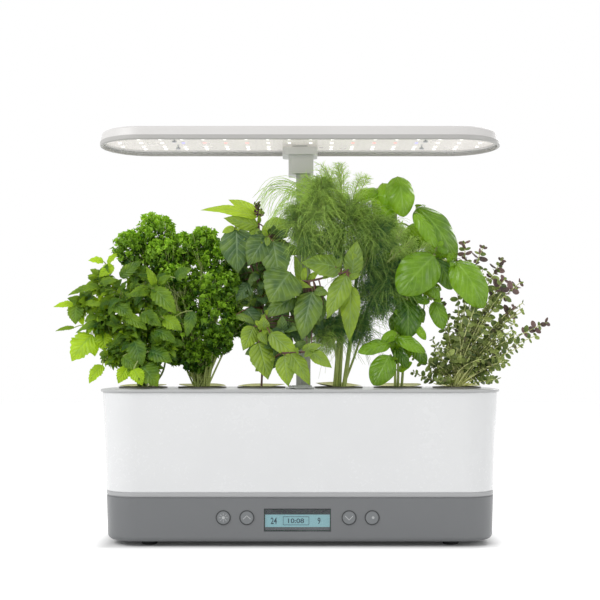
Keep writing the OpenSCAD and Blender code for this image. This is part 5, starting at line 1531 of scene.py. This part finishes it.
mass = [tubes(inner_sides, 0.32 * MM, 0.7, 3, painted_light_by_height(inner_sides, 0.15, 0.45)),
        tubes(first, 0.24 * MM, 0.5, 3, painted_light_by_height(first, 0.1, 0.5))]
grid_object("dill_mass", mass, "dill_leaf", "dill_plant")
rest = tubes(second, 0.24 * MM, 0.5, 3, painted_light_by_height(second, 0.1, 0.5))
grid_object("dill_threads", [rest], "dill_leaf")
combed = [tubes(hair, 0.24 * MM, 0.5, 3, painted_light_by_height(hair, 0.35, 0.8)),
          tubes(arches, 0.27 * MM, 0.5, 4, between(0.6, 0.95, len(arches)))]
grid_object("dill_hair", combed, "dill_leaf")
feathers = [tubes(plume_sides, 0.3 * MM, 0.7, 3, painted_light_by_height(plume_sides, 0.6, 0.95)),
            tubes(plume_threads, 0.2 * MM, 0.5, 3, painted_light_by_height(plume_threads, 0.6, 0.95))]
grid_object("dill_plumes", feathers, "dill_leaf")

# %% Stand the dill's stems
DILL_STEMS = np.array([  # foot from the pod's middle, top, bend and radius, in mm
    [-4, 0, 153, 42, -4, 300, 2, -2, 0, 2.6], [0.5, 2, 153, 51, -4, 296, -1, 1, 0, 2.3],
    [5, -1, 153, 60, -4, 300, 2, 2, 0, 2.5], [-2, -3, 153, 32, -14, 214, 2, -4, 0, 1.2],
    [3, 3, 153, 72, -4, 246, 3, 2, 0, 1.4]]) * MM

foot, top, bend, radius = np.split(DILL_STEMS, [3, 6, 9], axis=1)
main = curves([PODS[3], 0, 0] + foot, top, bend, 14)
stems = [tubes(main, radius[:, 0], 0.6, 10, 0.75), tubes(keep_clear(ribs), 0.6 * MM, 0.5, 4, 0.45),
         tubes(keep_clear(plumes), 0.6 * MM, 0.4, 5, 0.7)]
grid_object("dill_stems", stems, "dill_leaf", material="green_stem")

# %% [markdown]
# ## Thyme
# Wiry pale shoots lean out of the pod and carry tiny leaves in crossed pairs, dark green, with
# purple ones near the tips. A few long shoots are aimed one by one, because they draw the plant's
# outline, and short ones fill its bushy middle.

# %% Shape thyme leaves
THYME_FLOOR = 159 * MM  # no leaf hangs lower, onto the deck


def pairs_along(paths, first, count, size):
    """Bases and tips of crossed leaf pairs along N curves, from the share first of the way up to their ends.
    The k-th pair's leaves are size sin(pi (k + 1.2) / (count + 1.6)) long, or 0.62 size if that is more."""
    n = len(paths)
    root, ahead = sample(paths, np.linspace(first, 0.995, count))
    one = unit(np.cross(ahead, [0.2, 1.0, 0.3]))
    two = np.cross(ahead, one)
    turn = np.arange(count)[None, :, None] * np.pi / 2 + between(-0.4, 0.4, n, count, 1)
    side = np.cos(turn) * one + np.sin(turn) * two
    swell = np.maximum(np.sin(np.pi * (np.arange(count) + 1.2) / (count + 1.6)), 0.62)
    grow = size * swell[None, :, None] * between(0.7, 1.2, n, count, 1)
    root, ahead, grow = (np.concatenate([values, values], 1) for values in (root, ahead, grow))
    way = unit(np.concatenate([side, -side], 1) + 0.35 * ahead + between(-0.3, 0.3, n, 2 * count, 3))
    tip = root + grow * way
    tip[..., 2] = np.maximum(tip[..., 2], THYME_FLOOR)
    return root.reshape(-1, 3), tip.reshape(-1, 3)


print("crossed pairs ready")

# %% Grow the thyme
HIGH_TIP = 218 * MM  # shoots that end above this have purple tips
THYME_TIPS = np.array([  # x, y, z of the long shoots' ends, in mm
    [172, 12, 306], [190, 4, 300], [208, -4, 286], [229, 4, 264], [254, -4, 222], [241, -12, 208],
    [224, -22, 197], [146, 18, 246], [118, 8, 170], [210, -10, 266], [186, -18, 250], [113, 0, 188],
    [198, -34, 164], [208, -28, 182], [140, -26, 162], [222, 0, 238], [164, 14, 290]]) * MM
THYME_TUFTS = [  # x, z, radius, y, depth
    [160, 186, 14, -4, 12], [184, 184, 15, -8, 12], [172, 206, 15, 0, 13], [146, 200, 12, 12, 10],
    [196, 206, 13, -8, 11], [186, 228, 12, -2, 10], [216, 214, 10, -8, 8], [160, 226, 12, 12, 10],
    [140, 178, 10, 0, 8], [206, 184, 11, -14, 9], [206, 252, 9, -4, 8], [186, 272, 9, 4, 8],
    [226, 236, 9, 0, 7]]

bush, _ = clump(THYME_TUFTS, 5, 0.3)
ends = np.concatenate([THYME_TIPS, bush])
feet = foot_of(5, len(ends), 5 * MM)
bow = (ends - feet) * [-0.10, -0.05, 0.06] + between(-0.004, 0.004, len(ends), 3)
shoots = curves(feet, ends, bow, 16)
long_shoots, short_shoots = shoots[:len(THYME_TIPS)], shoots[len(THYME_TIPS):]

grids = []
for paths, first, count, size, palest in ((long_shoots, 0.4, 12, 9.5, 0.5), (short_shoots, 0.5, 7, 8.2, 0.8)):
    base, tip = pairs_along(paths, first, count, size * MM)
    n, width = len(base), 0.62 * np.linalg.norm(tip - base, axis=-1)
    grids.append(leaves(base, tip, width, toward_viewer(n, 0.8, 0.6), 6, 4, arch=-0.1, fold=0.3,
                        shape=(0.5, 0.55), tone=between(0.0, palest, n), tilt=between(-0.6, 0.6, n)))
grid_object("thyme_foliage", grids, "thyme_leaf", "thyme_plant")

base, tip = pairs_along(long_shoots[THYME_TIPS[:, 2] > HIGH_TIP], 0.82, 5, 9.6 * MM)
n, width = len(base), 0.6 * np.linalg.norm(tip - base, axis=-1)
purple = leaves(base, tip, width, toward_viewer(n, 0.7, 0.5), 8, 4, arch=-0.12, fold=0.25, shape=(0.5, 0.55),
                tone=between(0.0, 0.7, n), tilt=between(-0.5, 0.5, n))
grid_object("thyme_tips", [purple], "thyme_leaf", material="thyme_tip")
wires = tubes(shoots, 0.8 * MM, 0.55, 5, between(0.7, 1.0, len(shoots)))
grid_object("thyme_stems", [wires], "thyme_leaf", material="pale_stem")

# %% [markdown]
# ## Measure the shown size
# The plants reach past the solids that stand for them, so the size that is seen is measured too, and
# printed.

# %% Measure the shown size
low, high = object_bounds()
print("shown size:", [round(b - a, 4) for a, b in zip(low, high)])
